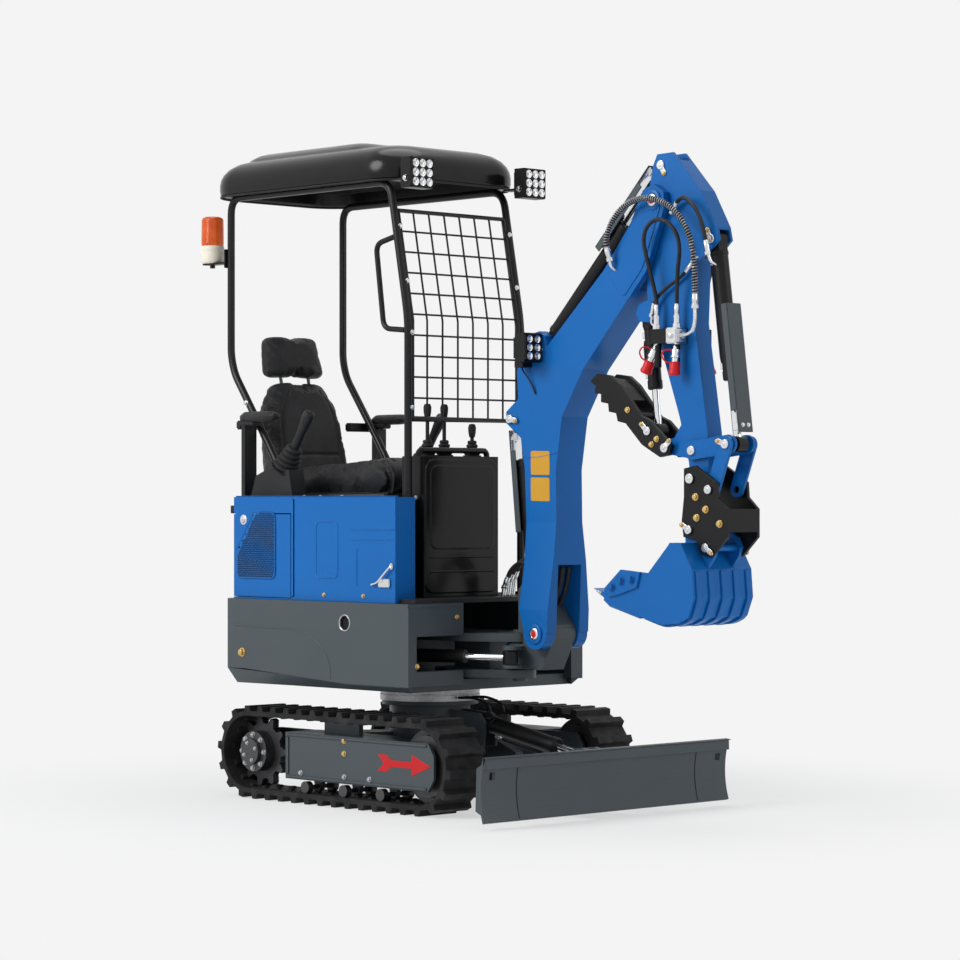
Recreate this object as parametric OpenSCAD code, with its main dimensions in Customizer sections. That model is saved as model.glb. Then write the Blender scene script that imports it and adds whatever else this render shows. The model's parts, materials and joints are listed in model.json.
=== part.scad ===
// Mini excavator on rubber tracks, with canopy, dozer blade, bucket and thumb.
// Millimetres. X forward, Y to the machine's left, Z up, origin on the ground
// below the slew axis. Side views are drawn as [x, z] outlines.

/* [Undercarriage] */
// Width over both tracks
track_gauge_w = 930; // [900:1:1000]
// Width of one rubber track
track_w = 180; // [170:1:190]
// X of the drive sprocket
sprocket_x = -500; // [-520:1:-490]
// X of the front idler
idler_x = 430; // [420:1:450]
// Radius of the belt's outer face on the end wheels
belt_r = 152; // [150:1:156]
// Thickness of the belt
belt_t = 17; // [14:1:19]
// Height of the ground lugs
lug_h = 20; // [14:1:22]
// Number of ground lugs on a track
lug_count = 38; // [34:1:42]
// Height of the side frame's box
side_frame_h = 170; // [150:1:176]

/* [Blade] */
// Width of the main blade
blade_w = 900; // [860:1:940]
// Width of each bolt-on wing
wing_w = 165; // [140:1:180]
// Height of the blade
blade_h = 212; // [190:1:225]
// Thickness of the blade's plate
blade_t = 12; // [8:1:16]
// Gap from the blade's edge to the ground
blade_lift = 24; // [15:1:40]

/* [Upper structure] */
// Half width of the counterweight
skirt_half_w = 440; // [430:1:450]
// Radius of the counterweight's tail about the slew axis
tail_r = 780; // [770:1:790]
// Wall of the counterweight casting
skirt_t = 40; // [30:1:50]
// Top of the counterweight
skirt_top = 740; // [735:1:745]
// Top of the bonnet
bonnet_top = 1120; // [1110:1:1135]
// Half width of the bonnet
bonnet_half_w = 420; // [410:1:425]
// Sheet thickness of the covers
sheet_t = 6; // [4:1:8]

/* [Canopy] */
// Half spacing of the canopy's posts
post_half = 285; // [275:1:290]
// Diameter of the posts
post_d = 28; // [24:1:32]
// Underside of the roof
roof_bottom = 2270; // [2260:1:2285]
// Height of the roof's shell
roof_h = 170; // [150:1:175]
// How far the roof stands out beyond the posts' middles
roof_overhang = 50; // [45:1:55]

/* [Boom and arm] */
// Half width of the boom
boom_half = 65; // [62:1:68]
// Half width of the arm
arm_half = 36; // [34:1:37]
// Diameter of the main pivot pins
pivot_d = 36; // [30:1:40]
// Diameter of the cylinders' pins
eye_pin_d = 25; // [20:1:28]
// Diameter of the cylinders' barrels
barrel_d = 62; // [56:1:66]
// Diameter of the cylinders' rods
rod_d = 30; // [24:1:34]
// Half width of the bucket
bucket_half = 150; // [140:1:160]
// Thickness of the bucket's shell
bucket_t = 9; // [7:1:12]

/* [Hidden] */

$fn = 48;

// Paint and finishes
paint_blue = [0.10, 0.40, 0.80];
paint_grey = [0.30, 0.33, 0.35];
paint_black = [0.07, 0.07, 0.08];
rubber = [0.04, 0.04, 0.04];
steel = [0.70, 0.71, 0.72];
chrome = [0.85, 0.86, 0.88];

// Clearances
pin_clear = 0.1;
rod_clear = 0.2;
side_clear = 3;
seat_clear = 0.3;
lane_gap = 5;

// Undercarriage, derived
track_y = (track_gauge_w - track_w) / 2;
axle_z = belt_r + lug_h;
inner_r = belt_r - belt_t;
guide_h = 12;
guide_w = 20;
guide_y = 35;
lug_root = 34;
lug_tip = 22;
frame_rear_x = -293;
frame_front_x = idler_x + 75;
frame_out_y = track_gauge_w / 2 - 12;
frame_in_y = track_gauge_w / 2 - track_w + 6;
frame_plate = 12;
frame_z0 = axle_z - side_frame_h / 2;
frame_z1 = axle_z + side_frame_h / 2;
idler_box_x = idler_x - 145;
axle_d = 40;
roller_r = 22;
roller_pin_d = 16;
roller_xs = [-190, 20, 220];
roller_z = axle_z - inner_r + roller_r + seat_clear;
ring_r = 185;
ring_z0 = 372;
ring_z1 = 424;
pedestal_r = 150;
tow_eye = [-262, 215];
tow_d = 36;
tow_t = 20;

// Blade, derived
blade_pivot = [345, 125];
blade_x = 930;
blade_pin = [800, 205];
blade_base_pin = [300, 300];
blade_arm_y = 135;
blade_arm_t = 22;
blade_curve_r = 330;
blade_top = blade_lift + blade_h;

// Upper structure, derived
deck_z0 = ring_z1 + seat_clear;
deck_z1 = deck_z0 + 40;
skirt_z0 = 446;
skirt_front_x = 360;
nose_half = 160;
bonnet_z0 = skirt_top + 8;
bonnet_front_x = 270;
bonnet_wing_y = -325;
bonnet_mid_x = -70;
door_seam_x = -300;
door_gap = 4;
door_edge_y = 280;
door_top = bonnet_top - 60;
bonnet_r = tail_r - 22;
door_hinge = [-sqrt(bonnet_r * bonnet_r - door_edge_y * door_edge_y) - 2, door_edge_y - door_gap / 2];
door_knuckle_d = 16;
door_pin_d = 8;
door_knuckle_h = 30;
door_knuckle_zs = [790, 980];
floor_top = 756;
seat_z = 1132;
pod_top = 1222;
pod_in = post_half + post_d / 2 + side_clear;
pod_w = 70;
rest_r = 23;
rest_z = pod_top + 202;
rest_foot = rest_z - 36;

// Canopy, derived
rear_post_x = -812;
front_post_x = 190;
post_kink_z = 1760;
post_lean = 0.19;
roof_half_w = post_half + roof_overhang;
post_foot_h = 12;

// Swing post and front linkage, in [x, z]
swing_axis_x = 475;
swing_pin_d = 50;
lug_low_z = 470;
lug_high_z = 600;
lug_plate = 30;
post_half_w = 55;
boom_pivot = [655, 636];
boom_base_pin = [555, 789];
boom_rod_pin = [494, 1399];
arm_pivot = [1187, 2135];
arm_base_pin = [635, 1672];
arm_rod_pin = [1197, 2256];
bucket_base_pin = [1428, 1990];
rocker_pivot = [1352, 1277];
rocker_pin = [1517, 1297];
hitch_pin = [1459, 1145];
bucket_pivot = [1376, 1182];
ear_pin_a = [1371, 1009];
ear_pin_b = [1448, 949];
thumb_pivot = [1234, 1287];
thumb_rod_pin = [1154, 1346];
thumb_base_pin = [1112, 1752];
swing_base = [60, -300];
swing_ear = [554, -127];
swing_z = 550;

// Lanes across the machine
eye_w = 44;
eye_d = 54;
bracket_t = 12;
bracket_in = eye_w / 2 + side_clear;
bracket_out = bracket_in + bracket_t;
leg_in = post_half_w + side_clear;
leg_out = leg_in + 46;
// The legs lean out from the boom's sides, down to this height
leg_top_z = boom_pivot[1] + 394;
leg_flare_z = boom_pivot[1] + 84;
fork_in = arm_half + side_clear;
rocker_in = arm_half + lane_gap;
rocker_out = rocker_in + 10;
coupling_in = rocker_out + lane_gap;
coupling_out = coupling_in + 10;
hitch_in = coupling_out + lane_gap;
hitch_out = hitch_in + 12;
thumb_in = 40;
thumb_out = 56;

// Cylinder parts
neck_l = 42;
gland_l = 34;
floor_l = 60;
guard_t = 4;
collar_half = 20;
small_barrel_d = 48;
small_rod_d = 25;

function dir(a) = [cos(a), sin(a)];
function angle_of(a, b) = atan2(b[1] - a[1], b[0] - a[0]);
function reach(a, b) = norm(b - a);
function arc(c, r, a0, a1, n) = [for (i = [0 : n]) c + r * dir(a0 + (a1 - a0) * i / n)];

// General modules

// An [x, z] outline made into a plate between two values of Y
module plate(y0, y1) {
    translate([0, y1, 0]) rotate([90, 0, 0]) linear_extrude(y1 - y0) children();
}

module both_sides() {
    children();
    mirror([0, 1, 0]) children();
}

// A round bar along Y at an [x, z] point
module bar(p, d, y0, y1) {
    translate([p[0], y1, p[1]]) rotate([90, 0, 0]) cylinder(d = d, h = y1 - y0);
}

// A box given by its two corners
module block(a, b) {
    translate(a) cube(b - a);
}

// Two circles and their outer tangents
module link_outline(a, ra, b, rb) {
    turn = angle_of(a, b);
    lean = acos((ra - rb) / reach(a, b));
    translate(a) circle(ra);
    translate(b) circle(rb);
    polygon([
        a + ra * dir(turn + lean), b + rb * dir(turn + lean),
        b + rb * dir(turn - lean), a + ra * dir(turn - lean)
    ]);
}

// Puts +X along the line from a to b in the side view, with a at the origin
module along(a, b) {
    translate([a[0], 0, a[1]]) rotate([0, -angle_of(a, b), 0]) children();
}

// The same in plan, at a height
module along_plan(a, b, z) {
    translate([a[0], a[1], z]) rotate([0, 0, angle_of(a, b)]) rotate([90, 0, 0]) children();
}

module x_bar(d, x0, x1) {
    translate([x0, 0, 0]) rotate([0, 90, 0]) cylinder(d = d, h = x1 - x0);
}

// A cylinder's barrel along +X, with its eye at the origin
module barrel(length, body_d, shaft_d) {
    difference() {
        union() {
            bar([0, 0], eye_d, -eye_w / 2, eye_w / 2);
            block([0, -eye_w / 2, -eye_d / 3], [neck_l + 4, eye_w / 2, eye_d / 3]);
            x_bar(body_d, neck_l, length);
        }
        bar([0, 0], eye_pin_d + 2 * pin_clear, -eye_w, eye_w);
        x_bar(body_d - 16, floor_l, length - gland_l);
        x_bar(shaft_d + 2 * rod_clear, floor_l, length + 1);
    }
}

// A rod along +X that ends in an eye at the distance span
module rod(span, tail, shaft_d) {
    difference() {
        union() {
            x_bar(shaft_d, tail, span - eye_d / 2 + 6);
            bar([span, 0], eye_d, -eye_w / 2, eye_w / 2);
        }
        bar([span, 0], eye_pin_d + 2 * pin_clear, -eye_w, eye_w);
    }
}

// A flat guard over a rod, carried by a collar below the rod's eye
module rod_guard(span, length, offset_z, half_w) {
    collar_x = span - 70;
    collar_l = 24;
    block([span - length, -half_w, offset_z], [collar_x + collar_l + 6, half_w, offset_z + guard_t]);
    block([collar_x, -collar_half, 0], [collar_x + collar_l, collar_half, offset_z + 1]);
}

// A tube swept along points that lie in one plane with the given normal
module tube(points, d, normal, sides = 12) {
    last = len(points) - 1;
    unit = [for (i = [0 : last - 1]) (points[i + 1] - points[i]) / norm(points[i + 1] - points[i])];
    before = [for (i = [0 : last]) unit[max(i - 1, 0)]];
    after = [for (i = [0 : last]) unit[min(i, last - 1)]];
    rings = [
        for (i = [0 : last])
            let (
                mid = (before[i] + after[i]) / norm(before[i] + after[i]),
                across = cross(normal, mid),
                grow = 1 / (mid * after[i])
            )
            for (k = [0 : sides - 1])
                points[i] + d / 2 * (cos(360 * k / sides) * normal + grow * sin(360 * k / sides) * across)
    ];
    walls = [
        for (i = [0 : last - 1], k = [0 : sides - 1])
            [i * sides + k, i * sides + (k + 1) % sides, (i + 1) * sides + (k + 1) % sides, (i + 1) * sides + k]
    ];
    start = [for (k = [sides - 1 : -1 : 0]) k];
    end = [for (k = [0 : sides - 1]) last * sides + k];
    polyhedron(rings, concat([start], walls, [end]));
}

// A closed body through rings that have the same number of points
module loft(rings) {
    n = len(rings[0]);
    last = len(rings) - 1;
    points = [for (ring = rings, p = ring) p];
    walls = [
        for (i = [0 : last - 1], k = [0 : n - 1])
            [i * n + k, i * n + (k + 1) % n, (i + 1) * n + (k + 1) % n, (i + 1) * n + k]
    ];
    bottom = [for (k = [n - 1 : -1 : 0]) k];
    top = [for (k = [0 : n - 1]) last * n + k];
    polyhedron(points, concat([bottom], walls, [top]));
}

// A soft block with rounded edges, given by two corners
module soft_block(a, b, r) {
    sides = 16;
    edge = r * cos(180 / sides);
    hull()
        for (x = [a[0] + edge, b[0] - edge], y = [a[1] + edge, b[1] - edge], z = [a[2] + edge, b[2] - edge])
            translate([x, y, z]) sphere(r, $fn = sides);
}

// Undercarriage

// A point on the track's loop: s runs once round it, at the distance r from the wheels' axles
track_span = idler_x - sprocket_x;
loop_len = 2 * track_span + 2 * PI * belt_r;
function loop_point(s, r) =
    let (u = s - loop_len * floor(s / loop_len), half_turn = PI * belt_r)
    u < track_span ? [sprocket_x + u, axle_z + r]
    : u < track_span + half_turn ? [idler_x, axle_z] + r * dir(90 - (u - track_span) / belt_r * 180 / PI)
    : u < 2 * track_span + half_turn ? [idler_x - (u - track_span - half_turn), axle_z - r]
    : [sprocket_x, axle_z] + r * dir(270 - (u - 2 * track_span - half_turn) / belt_r * 180 / PI);

module loop_outline(r) {
    translate([sprocket_x, axle_z]) circle(r, $fn = 96);
    translate([idler_x, axle_z]) circle(r, $fn = 96);
    translate([sprocket_x, axle_z - r]) square([track_span, 2 * r]);
}

module tread_outline() {
    pitch = loop_len / lug_count;
    polygon([
        for (i = [0 : lug_count - 1])
            for (e = [[-lug_root / 2, 0], [-lug_tip / 2, lug_h], [lug_tip / 2, lug_h], [lug_root / 2, 0]])
                loop_point(i * pitch + e[0], belt_r + e[1])
    ]);
}

module guide_outline() {
    pitch = loop_len / lug_count;
    polygon([
        for (i = [0 : lug_count - 1])
            for (e = [[-14, 0], [-8, -guide_h], [8, -guide_h], [14, 0]])
                loop_point(i * pitch + e[0], inner_r + 4 + e[1])
    ]);
}

module track() {
    color(rubber) {
        difference() {
            plate(track_y - track_w / 2, track_y + track_w / 2) tread_outline();
            plate(track_y - track_w, track_y + track_w) loop_outline(inner_r);
        }
        for (side = [-1, 1])
            difference() {
                plate(track_y + side * guide_y - guide_w / 2, track_y + side * guide_y + guide_w / 2)
                    loop_outline(inner_r + 2);
                plate(track_y - track_w, track_y + track_w) guide_outline();
            }
    }
}

module track_left() {
    track();
}

module track_right() {
    mirror([0, 1, 0]) track();
}

module side_frame() {
    difference() {
        plate(frame_in_y, frame_out_y) polygon([
            [frame_rear_x, frame_z0], [frame_front_x - 30, frame_z0], [frame_front_x, frame_z0 + 45],
            [frame_front_x, frame_z1 - 45], [frame_front_x - 30, frame_z1], [frame_rear_x, frame_z1]
        ]);
        block(
            [idler_box_x, frame_in_y + frame_plate, frame_z0 - 1],
            [frame_front_x + 1, frame_out_y - frame_plate, frame_z1 + 1]
        );
    }
    bar([idler_x, axle_z], axle_d, frame_in_y, frame_out_y);
    plate(frame_in_y, frame_in_y + frame_plate)
        link_outline([sprocket_x, axle_z], 84, [frame_rear_x + 20, axle_z], 84);
    bar([sprocket_x, axle_z], 130, frame_in_y + frame_plate - 1, track_y - 20);
    for (x = roller_xs)
        difference() {
            plate(track_y - 9, track_y + 9) link_outline([x, roller_z], 18, [x, frame_z0 + 12], 26);
            bar([x, roller_z], roller_pin_d + 2 * pin_clear, 0, track_gauge_w);
        }
    block(
        [frame_rear_x + 140, track_y - 10, frame_z1 - 2],
        [frame_rear_x + 330, track_y + 10, axle_z + inner_r - seat_clear]
    );
}

module side_frames() {
    color(paint_grey) both_sides() side_frame();
}

module end_wheels() {
    tread = inner_r - seat_clear;
    rim_r = 110;
    teeth = 11;
    color(paint_black) both_sides() {
        translate([idler_x, track_y, axle_z]) rotate([90, 0, 0]) rotate_extrude($fn = 72) polygon([
            [axle_d / 2 + pin_clear, -46], [rim_r, -46], [rim_r, -20], [tread, -20],
            [tread, 20], [rim_r, 20], [rim_r, 46], [axle_d / 2 + pin_clear, 46]
        ]);
        translate([sprocket_x, track_y, axle_z]) rotate([90, 0, 0]) {
            translate([0, 0, -60]) cylinder(d = 150, h = 80 - seat_clear);
            translate([0, 0, -78]) cylinder(d = 96, h = 20);
            linear_extrude(28, center = true) {
                circle(104);
                for (i = [0 : teeth - 1]) rotate(i * 360 / teeth)
                    polygon([[98, -20], [inner_r - 4, -8], [inner_r - 4, 8], [98, 20]]);
            }
        }
    }
}

module rollers() {
    color(paint_black) both_sides() for (x = roller_xs) {
        bar([x, roller_z], roller_pin_d, track_y - 72, track_y + 72);
        for (side = [-1, 1])
            bar([x, roller_z], 2 * roller_r, track_y + side * 62 - 12, track_y + side * 62 + 12);
    }
}

module car_body() {
    leg_y = frame_in_y - seat_clear;
    color(paint_grey) difference() {
        union() {
            translate([0, 0, 150]) cylinder(r = pedestal_r, h = ring_z0 - 150);
            for (fx = [-1, 1], fy = [-1, 1])
                translate([0, 0, 160]) linear_extrude(95) polygon([
                    [fx * 20, fy * 40], [fx * 90, fy * 10], [fx * 250, fy * (leg_y - 70)],
                    [fx * 262, fy * leg_y], [fx * 120, fy * leg_y], [fx * 60, fy * (leg_y - 120)]
                ]);
            translate([0, 0, ring_z0 - 16]) cylinder(r = ring_r - 6, h = 16);
            both_sides() plate(blade_arm_y - 50, blade_arm_y - blade_arm_t / 2 - side_clear) polygon([
                [80, 160], [blade_pivot[0], blade_pivot[1] - 40], [blade_pivot[0] + 40, blade_pivot[1]],
                [blade_pivot[0] + 20, 190], [200, 255], [80, 255]
            ]);
            both_sides() plate(bracket_in, bracket_out) polygon([
                [90, 180], [blade_base_pin[0] + 20, 215], [blade_base_pin[0] + 32, blade_base_pin[1]],
                [blade_base_pin[0], blade_base_pin[1] + 34], [90, 345]
            ]);
            bar(blade_base_pin, eye_pin_d, -bracket_out, bracket_out);
            translate([0, 0, tow_eye[1] - tow_t / 2]) linear_extrude(tow_t)
                link_outline([tow_eye[0], 0], 36, [-120, 0], 45);
        }
        translate([tow_eye[0], 0, 0]) cylinder(d = tow_d, h = ring_z0);
        bar(blade_pivot, pivot_d + 2 * pin_clear, -blade_arm_y - 100, blade_arm_y + 100);
    }
}

module slew_ring() {
    color(steel) translate([0, 0, ring_z0]) difference() {
        cylinder(r = ring_r, h = ring_z1 - ring_z0, $fn = 96);
        translate([0, 0, -1]) cylinder(r = 95, h = ring_z1 - ring_z0 + 2);
        translate([0, 0, 22]) difference() {
            cylinder(r = ring_r + 1, h = 6);
            translate([0, 0, -1]) cylinder(r = ring_r - 5, h = 8);
        }
    }
}

// Dozer blade

// The mouldboard's section: a concave front and a folded top lip
module blade_section() {
    curve_a = asin(blade_h / 2 / blade_curve_r);
    c = [blade_x + blade_curve_r * cos(curve_a), blade_lift + blade_h / 2];
    polygon(concat(
        arc(c, blade_curve_r, 180 + curve_a, 180 - curve_a, 12),
        [[blade_x + 14, blade_top + 6], [blade_x - blade_t, blade_top + 6]],
        arc(c, blade_curve_r + blade_t, 180 - curve_a, 180 + curve_a, 12)
    ));
}

module blade() {
    color(paint_grey) {
        plate(-blade_w / 2, blade_w / 2) blade_section();
        both_sides() {
            plate(blade_arm_y - blade_arm_t / 2, blade_arm_y + blade_arm_t / 2) {
                link_outline(blade_pivot, 42, [620, 120], 38);
                polygon([[600, 82], [914, 60], [907, 135], [914, 215], [760, 205], [600, 158]]);
            }
            bar(blade_pivot, pivot_d, blade_arm_y - 60, blade_arm_y + blade_arm_t / 2 + 8);
            plate(bracket_in, bracket_out) polygon([
                [blade_pin[0] - 34, blade_pin[1] - 10], [blade_pin[0] - 20, 110], [910, 90], [907, 135],
                [915, 225], [blade_pin[0] + 20, blade_pin[1] + 34], [blade_pin[0] - 20, blade_pin[1] + 30]
            ]);
            bar(blade_pin, eye_pin_d, bracket_in, bracket_out + 8);
        }
        block([680, -blade_arm_y, 92], [720, blade_arm_y, 128]);
    }
}

module blade_wings() {
    tie_hole = 26;
    color(paint_grey) both_sides() difference() {
        plate(blade_w / 2, blade_w / 2 + wing_w) blade_section();
        block(
            [blade_x - 80, blade_w / 2 + wing_w - 60, blade_top - 70],
            [blade_x + 80, blade_w / 2 + wing_w - 60 + tie_hole, blade_top - 70 + tie_hole]
        );
    }
}

module blade_barrel() {
    color(paint_black) along(blade_base_pin, blade_pin) barrel(370, barrel_d, rod_d);
}

module blade_rod() {
    color(chrome) along(blade_base_pin, blade_pin) rod(reach(blade_base_pin, blade_pin), 130, rod_d);
}

// Upper structure

// The tail's plan outline, drawn inwards by an inset
module tail_outline(inset, front_x) {
    r = tail_r - inset;
    w = skirt_half_w - inset;
    corner = asin(w / r);
    polygon(concat(
        [[front_x, -w], [front_x, w]],
        arc([0, 0], r, 180 - corner, 180 + corner, 24)
    ));
}

module upper_frame() {
    color(paint_grey) difference() {
        union() {
            translate([0, 0, deck_z0]) linear_extrude(deck_z1 - deck_z0) difference() {
                tail_outline(skirt_t + seat_clear, skirt_front_x - skirt_t);
                circle(90);
            }
            for (z = [lug_low_z, lug_high_z])
                translate([0, 0, z]) linear_extrude(lug_plate) {
                    link_outline([swing_axis_x, 0], 58, [260, 0], nose_half);
                }
            block([180, -45, deck_z1 - 2], [365, 45, lug_high_z + 2]);
            block([-40, -nose_half, lug_high_z], [260, nose_half, lug_high_z + lug_plate]);
            block([-40, -nose_half, deck_z1 - 2], [0, nose_half, lug_high_z + 2]);
            for (z = [swing_z - eye_w / 2 - side_clear - bracket_t, swing_z + eye_w / 2 + side_clear])
                translate([0, 0, z]) linear_extrude(bracket_t)
                    link_outline(swing_base, 34, [-20, -150], 60);
            translate([swing_base[0], swing_base[1], swing_z - 50]) cylinder(d = eye_pin_d, h = 100);
        }
        translate([swing_axis_x, 0, 0]) cylinder(d = swing_pin_d + 2 * pin_clear, h = 2000);
    }
}

module counterweight() {
    outlet = [20, 666];
    color(paint_grey) difference() {
        translate([0, 0, skirt_z0]) linear_extrude(skirt_top - skirt_z0) difference() {
            tail_outline(0, skirt_front_x);
            tail_outline(skirt_t, skirt_front_x - skirt_t);
        }
        plate(-1000, 1000) polygon([
            [-1000, skirt_z0 - 1], [40, skirt_z0 - 1], [-540, skirt_z0 + 34], [-1000, skirt_z0 + 34]
        ]);
        block([skirt_front_x - 60, -nose_half - 12, 0], [skirt_front_x + 60, skirt_half_w - 60, 2000]);
        block([skirt_front_x - 60, -skirt_half_w + 40, lug_low_z + 30], [skirt_front_x + 60, -nose_half, 625]);
        bar(outlet, 54, -skirt_half_w - 1, 0);
    }
}

module floor_plate() {
    color(paint_black) translate([0, 0, skirt_top + seat_clear]) linear_extrude(floor_top - skirt_top)
        polygon([
            [bonnet_front_x + 2, -skirt_half_w + 40], [skirt_front_x - 6, -skirt_half_w + 40],
            [skirt_front_x - 6, skirt_half_w - 10], [bonnet_mid_x + 2, skirt_half_w - 10],
            [bonnet_mid_x + 2, bonnet_wing_y + 2], [bonnet_front_x + 2, bonnet_wing_y + 2]
        ]);
}

// The bonnet's plan: a right-hand box that joins a cover across the tail
module bonnet_outline(inset) {
    r = bonnet_r - inset;
    w = bonnet_half_w - inset;
    corner = asin(w / r);
    polygon(concat(
        [[bonnet_front_x - inset, -w], [bonnet_front_x - inset, bonnet_wing_y - inset],
         [bonnet_mid_x - inset, bonnet_wing_y - inset], [bonnet_mid_x - inset, w]],
        arc([0, 0], r, 180 - corner, 180 + corner, 24)
    ));
}

module bonnet_shell(z0) {
    translate([0, 0, z0]) difference() {
        linear_extrude(bonnet_top - z0) bonnet_outline(0);
        translate([0, 0, -1]) linear_extrude(bonnet_top - z0 - sheet_t + 1) bonnet_outline(sheet_t);
    }
}

module bonnet() {
    color(paint_blue) {
        difference() {
            bonnet_shell(skirt_top);
            block([-1000, -1000, bonnet_z0 - 2], [door_seam_x, door_edge_y, door_top]);
            for (z = door_knuckle_zs) translate([door_hinge[0], door_hinge[1], z])
                cylinder(d = door_knuckle_d + 6, h = 2 * door_knuckle_h + 4);
        }
        for (z = door_knuckle_zs) translate([door_hinge[0], door_hinge[1], z]) {
            cylinder(d = door_knuckle_d, h = door_knuckle_h);
            cylinder(d = door_pin_d, h = 2 * door_knuckle_h + 2);
            block([0, 4, 0], [14, 24, door_knuckle_h]);
        }
    }
}

module engine_door() {
    color(paint_blue) difference() {
        union() {
            difference() {
                intersection() {
                    bonnet_shell(bonnet_z0);
                    block(
                        [-1000, -1000, bonnet_z0 - 1],
                        [door_seam_x - door_gap, door_edge_y - door_gap, door_top - door_gap]
                    );
                }
                for (z = door_knuckle_zs) translate([door_hinge[0], door_hinge[1], z - 2])
                    cylinder(d = door_knuckle_d + 6, h = 2 * door_knuckle_h + 6);
            }
            for (z = door_knuckle_zs) translate([door_hinge[0], door_hinge[1], z + door_knuckle_h + seat_clear]) {
                cylinder(d = door_knuckle_d, h = door_knuckle_h);
                block([0, -24, 0], [14, -4, door_knuckle_h]);
            }
        }
        translate([door_hinge[0], door_hinge[1], 0]) cylinder(d = door_pin_d + 2 * pin_clear, h = 2000);
        for (i = [0 : 8], k = [0 : 6])
            translate([-600 + 19 * k, -300, 835 + 24 * i]) rotate([90, 0, 0]) cylinder(d = 9, h = 300, $fn = 6);
    }
}

module engine_block() {
    color(paint_grey) block([-560, -250, deck_z1 + seat_clear], [-120, 200, 980]);
}

module seat_base() {
    color(paint_black) {
        block([-600, -215, bonnet_top + seat_clear], [0, 215, seat_z]);
        block([-50, -230, floor_top + 1], [-30, 230, bonnet_top]);
        block([-700, -150, bonnet_top + seat_clear], [-600, 150, seat_z]);
    }
}

module seat_cushion() {
    color(paint_black) soft_block([-610, -220, seat_z + seat_clear], [20, 220, seat_z + 125], 45);
}

// Puts the seat's back on its base, leaning back
module on_seat() {
    translate([-640, 0, seat_z + 13.5]) rotate([0, -12, 0]) children();
}

module seat_back() {
    color(paint_black) on_seat() soft_block([-95, -205, 0], [15, 205, 425], 40);
}

module headrest() {
    color(paint_black) on_seat() {
        soft_block([-85, -140, 456], [5, 140, 582], 38);
        both_sides() translate([-40, 70, 425 + seat_clear]) cylinder(d = 14, h = 60);
    }
}

module armrests() {
    color(paint_black) both_sides() {
        plate(pod_in, pod_in + pod_w - 6) link_outline([-667, rest_z], rest_r, [-493, rest_z], rest_r);
        block([-712, 205 + seat_clear, rest_foot - 12], [-682, pod_in + 43, rest_foot + 22]);
        block([-690, pod_in + 10, rest_foot], [-600, pod_in + 50, rest_foot + 20]);
    }
}

module control_pods() {
    color(paint_black) both_sides() {
        plate(pod_in, pod_in + pod_w) polygon([
            [-590, bonnet_top + seat_clear], [-350, bonnet_top + seat_clear], [-370, pod_top], [-500, pod_top],
            [-560, pod_top - 22]
        ]);
        block([-660, pod_in, bonnet_top + seat_clear], [-640, pod_in + 58, rest_foot - seat_clear]);
    }
}

module joysticks() {
    color(paint_black) both_sides() translate([-432, pod_in + pod_w / 2, pod_top + seat_clear]) {
        cylinder(r1 = 34, r2 = 20, h = 80);
        translate([0, 0, 50]) rotate([0, 28, 0]) {
            cylinder(d = 16, h = 120);
            translate([0, 0, 100]) cylinder(d = 36, h = 94);
            translate([0, 0, 194]) sphere(d = 36);
        }
    }
}

module console() {
    shield = [front_post_x + 16, -(post_half - post_d / 2 - 25), 126];
    color(paint_black) {
        difference() {
            block([shield[0] - 90, shield[1], floor_top + 1], [shield[0] + 26, shield[2], 1268]);
            block(
                [shield[0] - 91, shield[1] + sheet_t, floor_top],
                [shield[0] + 26 - sheet_t, shield[2] - sheet_t, 1262]
            );
        }
        tube([
            [shield[0] - 20, shield[1] + 14, 1240], [shield[0] - 20, shield[1] + 14, 1278],
            [shield[0] - 20, shield[1] + 26, 1290], [shield[0] - 20, shield[2] - 26, 1290],
            [shield[0] - 20, shield[2] - 14, 1278], [shield[0] - 20, shield[2] - 14, 1240]
        ], 20, [1, 0, 0]);
    }
}

module travel_levers() {
    color(paint_black) for (y = [-153, -69]) translate([150, y, 1268 + seat_clear]) {
        cylinder(r1 = 30, r2 = 12, h = 60);
        cylinder(d = 14, h = 190);
        translate([0, 0, 130]) cylinder(d = 30, h = 62);
    }
}

// Canopy

function rounded(x0, x1, w, r, n) =
    concat(
        [for (i = [0 : n]) [x1 - r, -w + r] + r * dir(-90 + 90 * i / n)],
        [for (i = [0 : n]) [x1 - r, w - r] + r * dir(90 * i / n)],
        [for (i = [0 : n]) [x0 + r, w - r] + r * dir(90 + 90 * i / n)],
        [for (i = [0 : n]) [x0 + r, -w + r] + r * dir(180 + 90 * i / n)]
    );

function roof_ring(inset, z) =
    [for (p = rounded(-910 + inset, 170 - inset, roof_half_w - inset, max(130 - inset, 20), 8)) [p[0], p[1], z]];

module canopy_roof() {
    top = roof_bottom + roof_h;
    rim = roof_overhang + 6;
    color(paint_black) loft([
        roof_ring(rim + 8, roof_bottom + 52), roof_ring(rim, roof_bottom), roof_ring(6, roof_bottom),
        roof_ring(0, roof_bottom + 20), roof_ring(2, roof_bottom + 60), roof_ring(22, roof_bottom + 100),
        roof_ring(70, top - 36), roof_ring(150, top - 12), roof_ring(240, top)
    ]);
}

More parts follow.
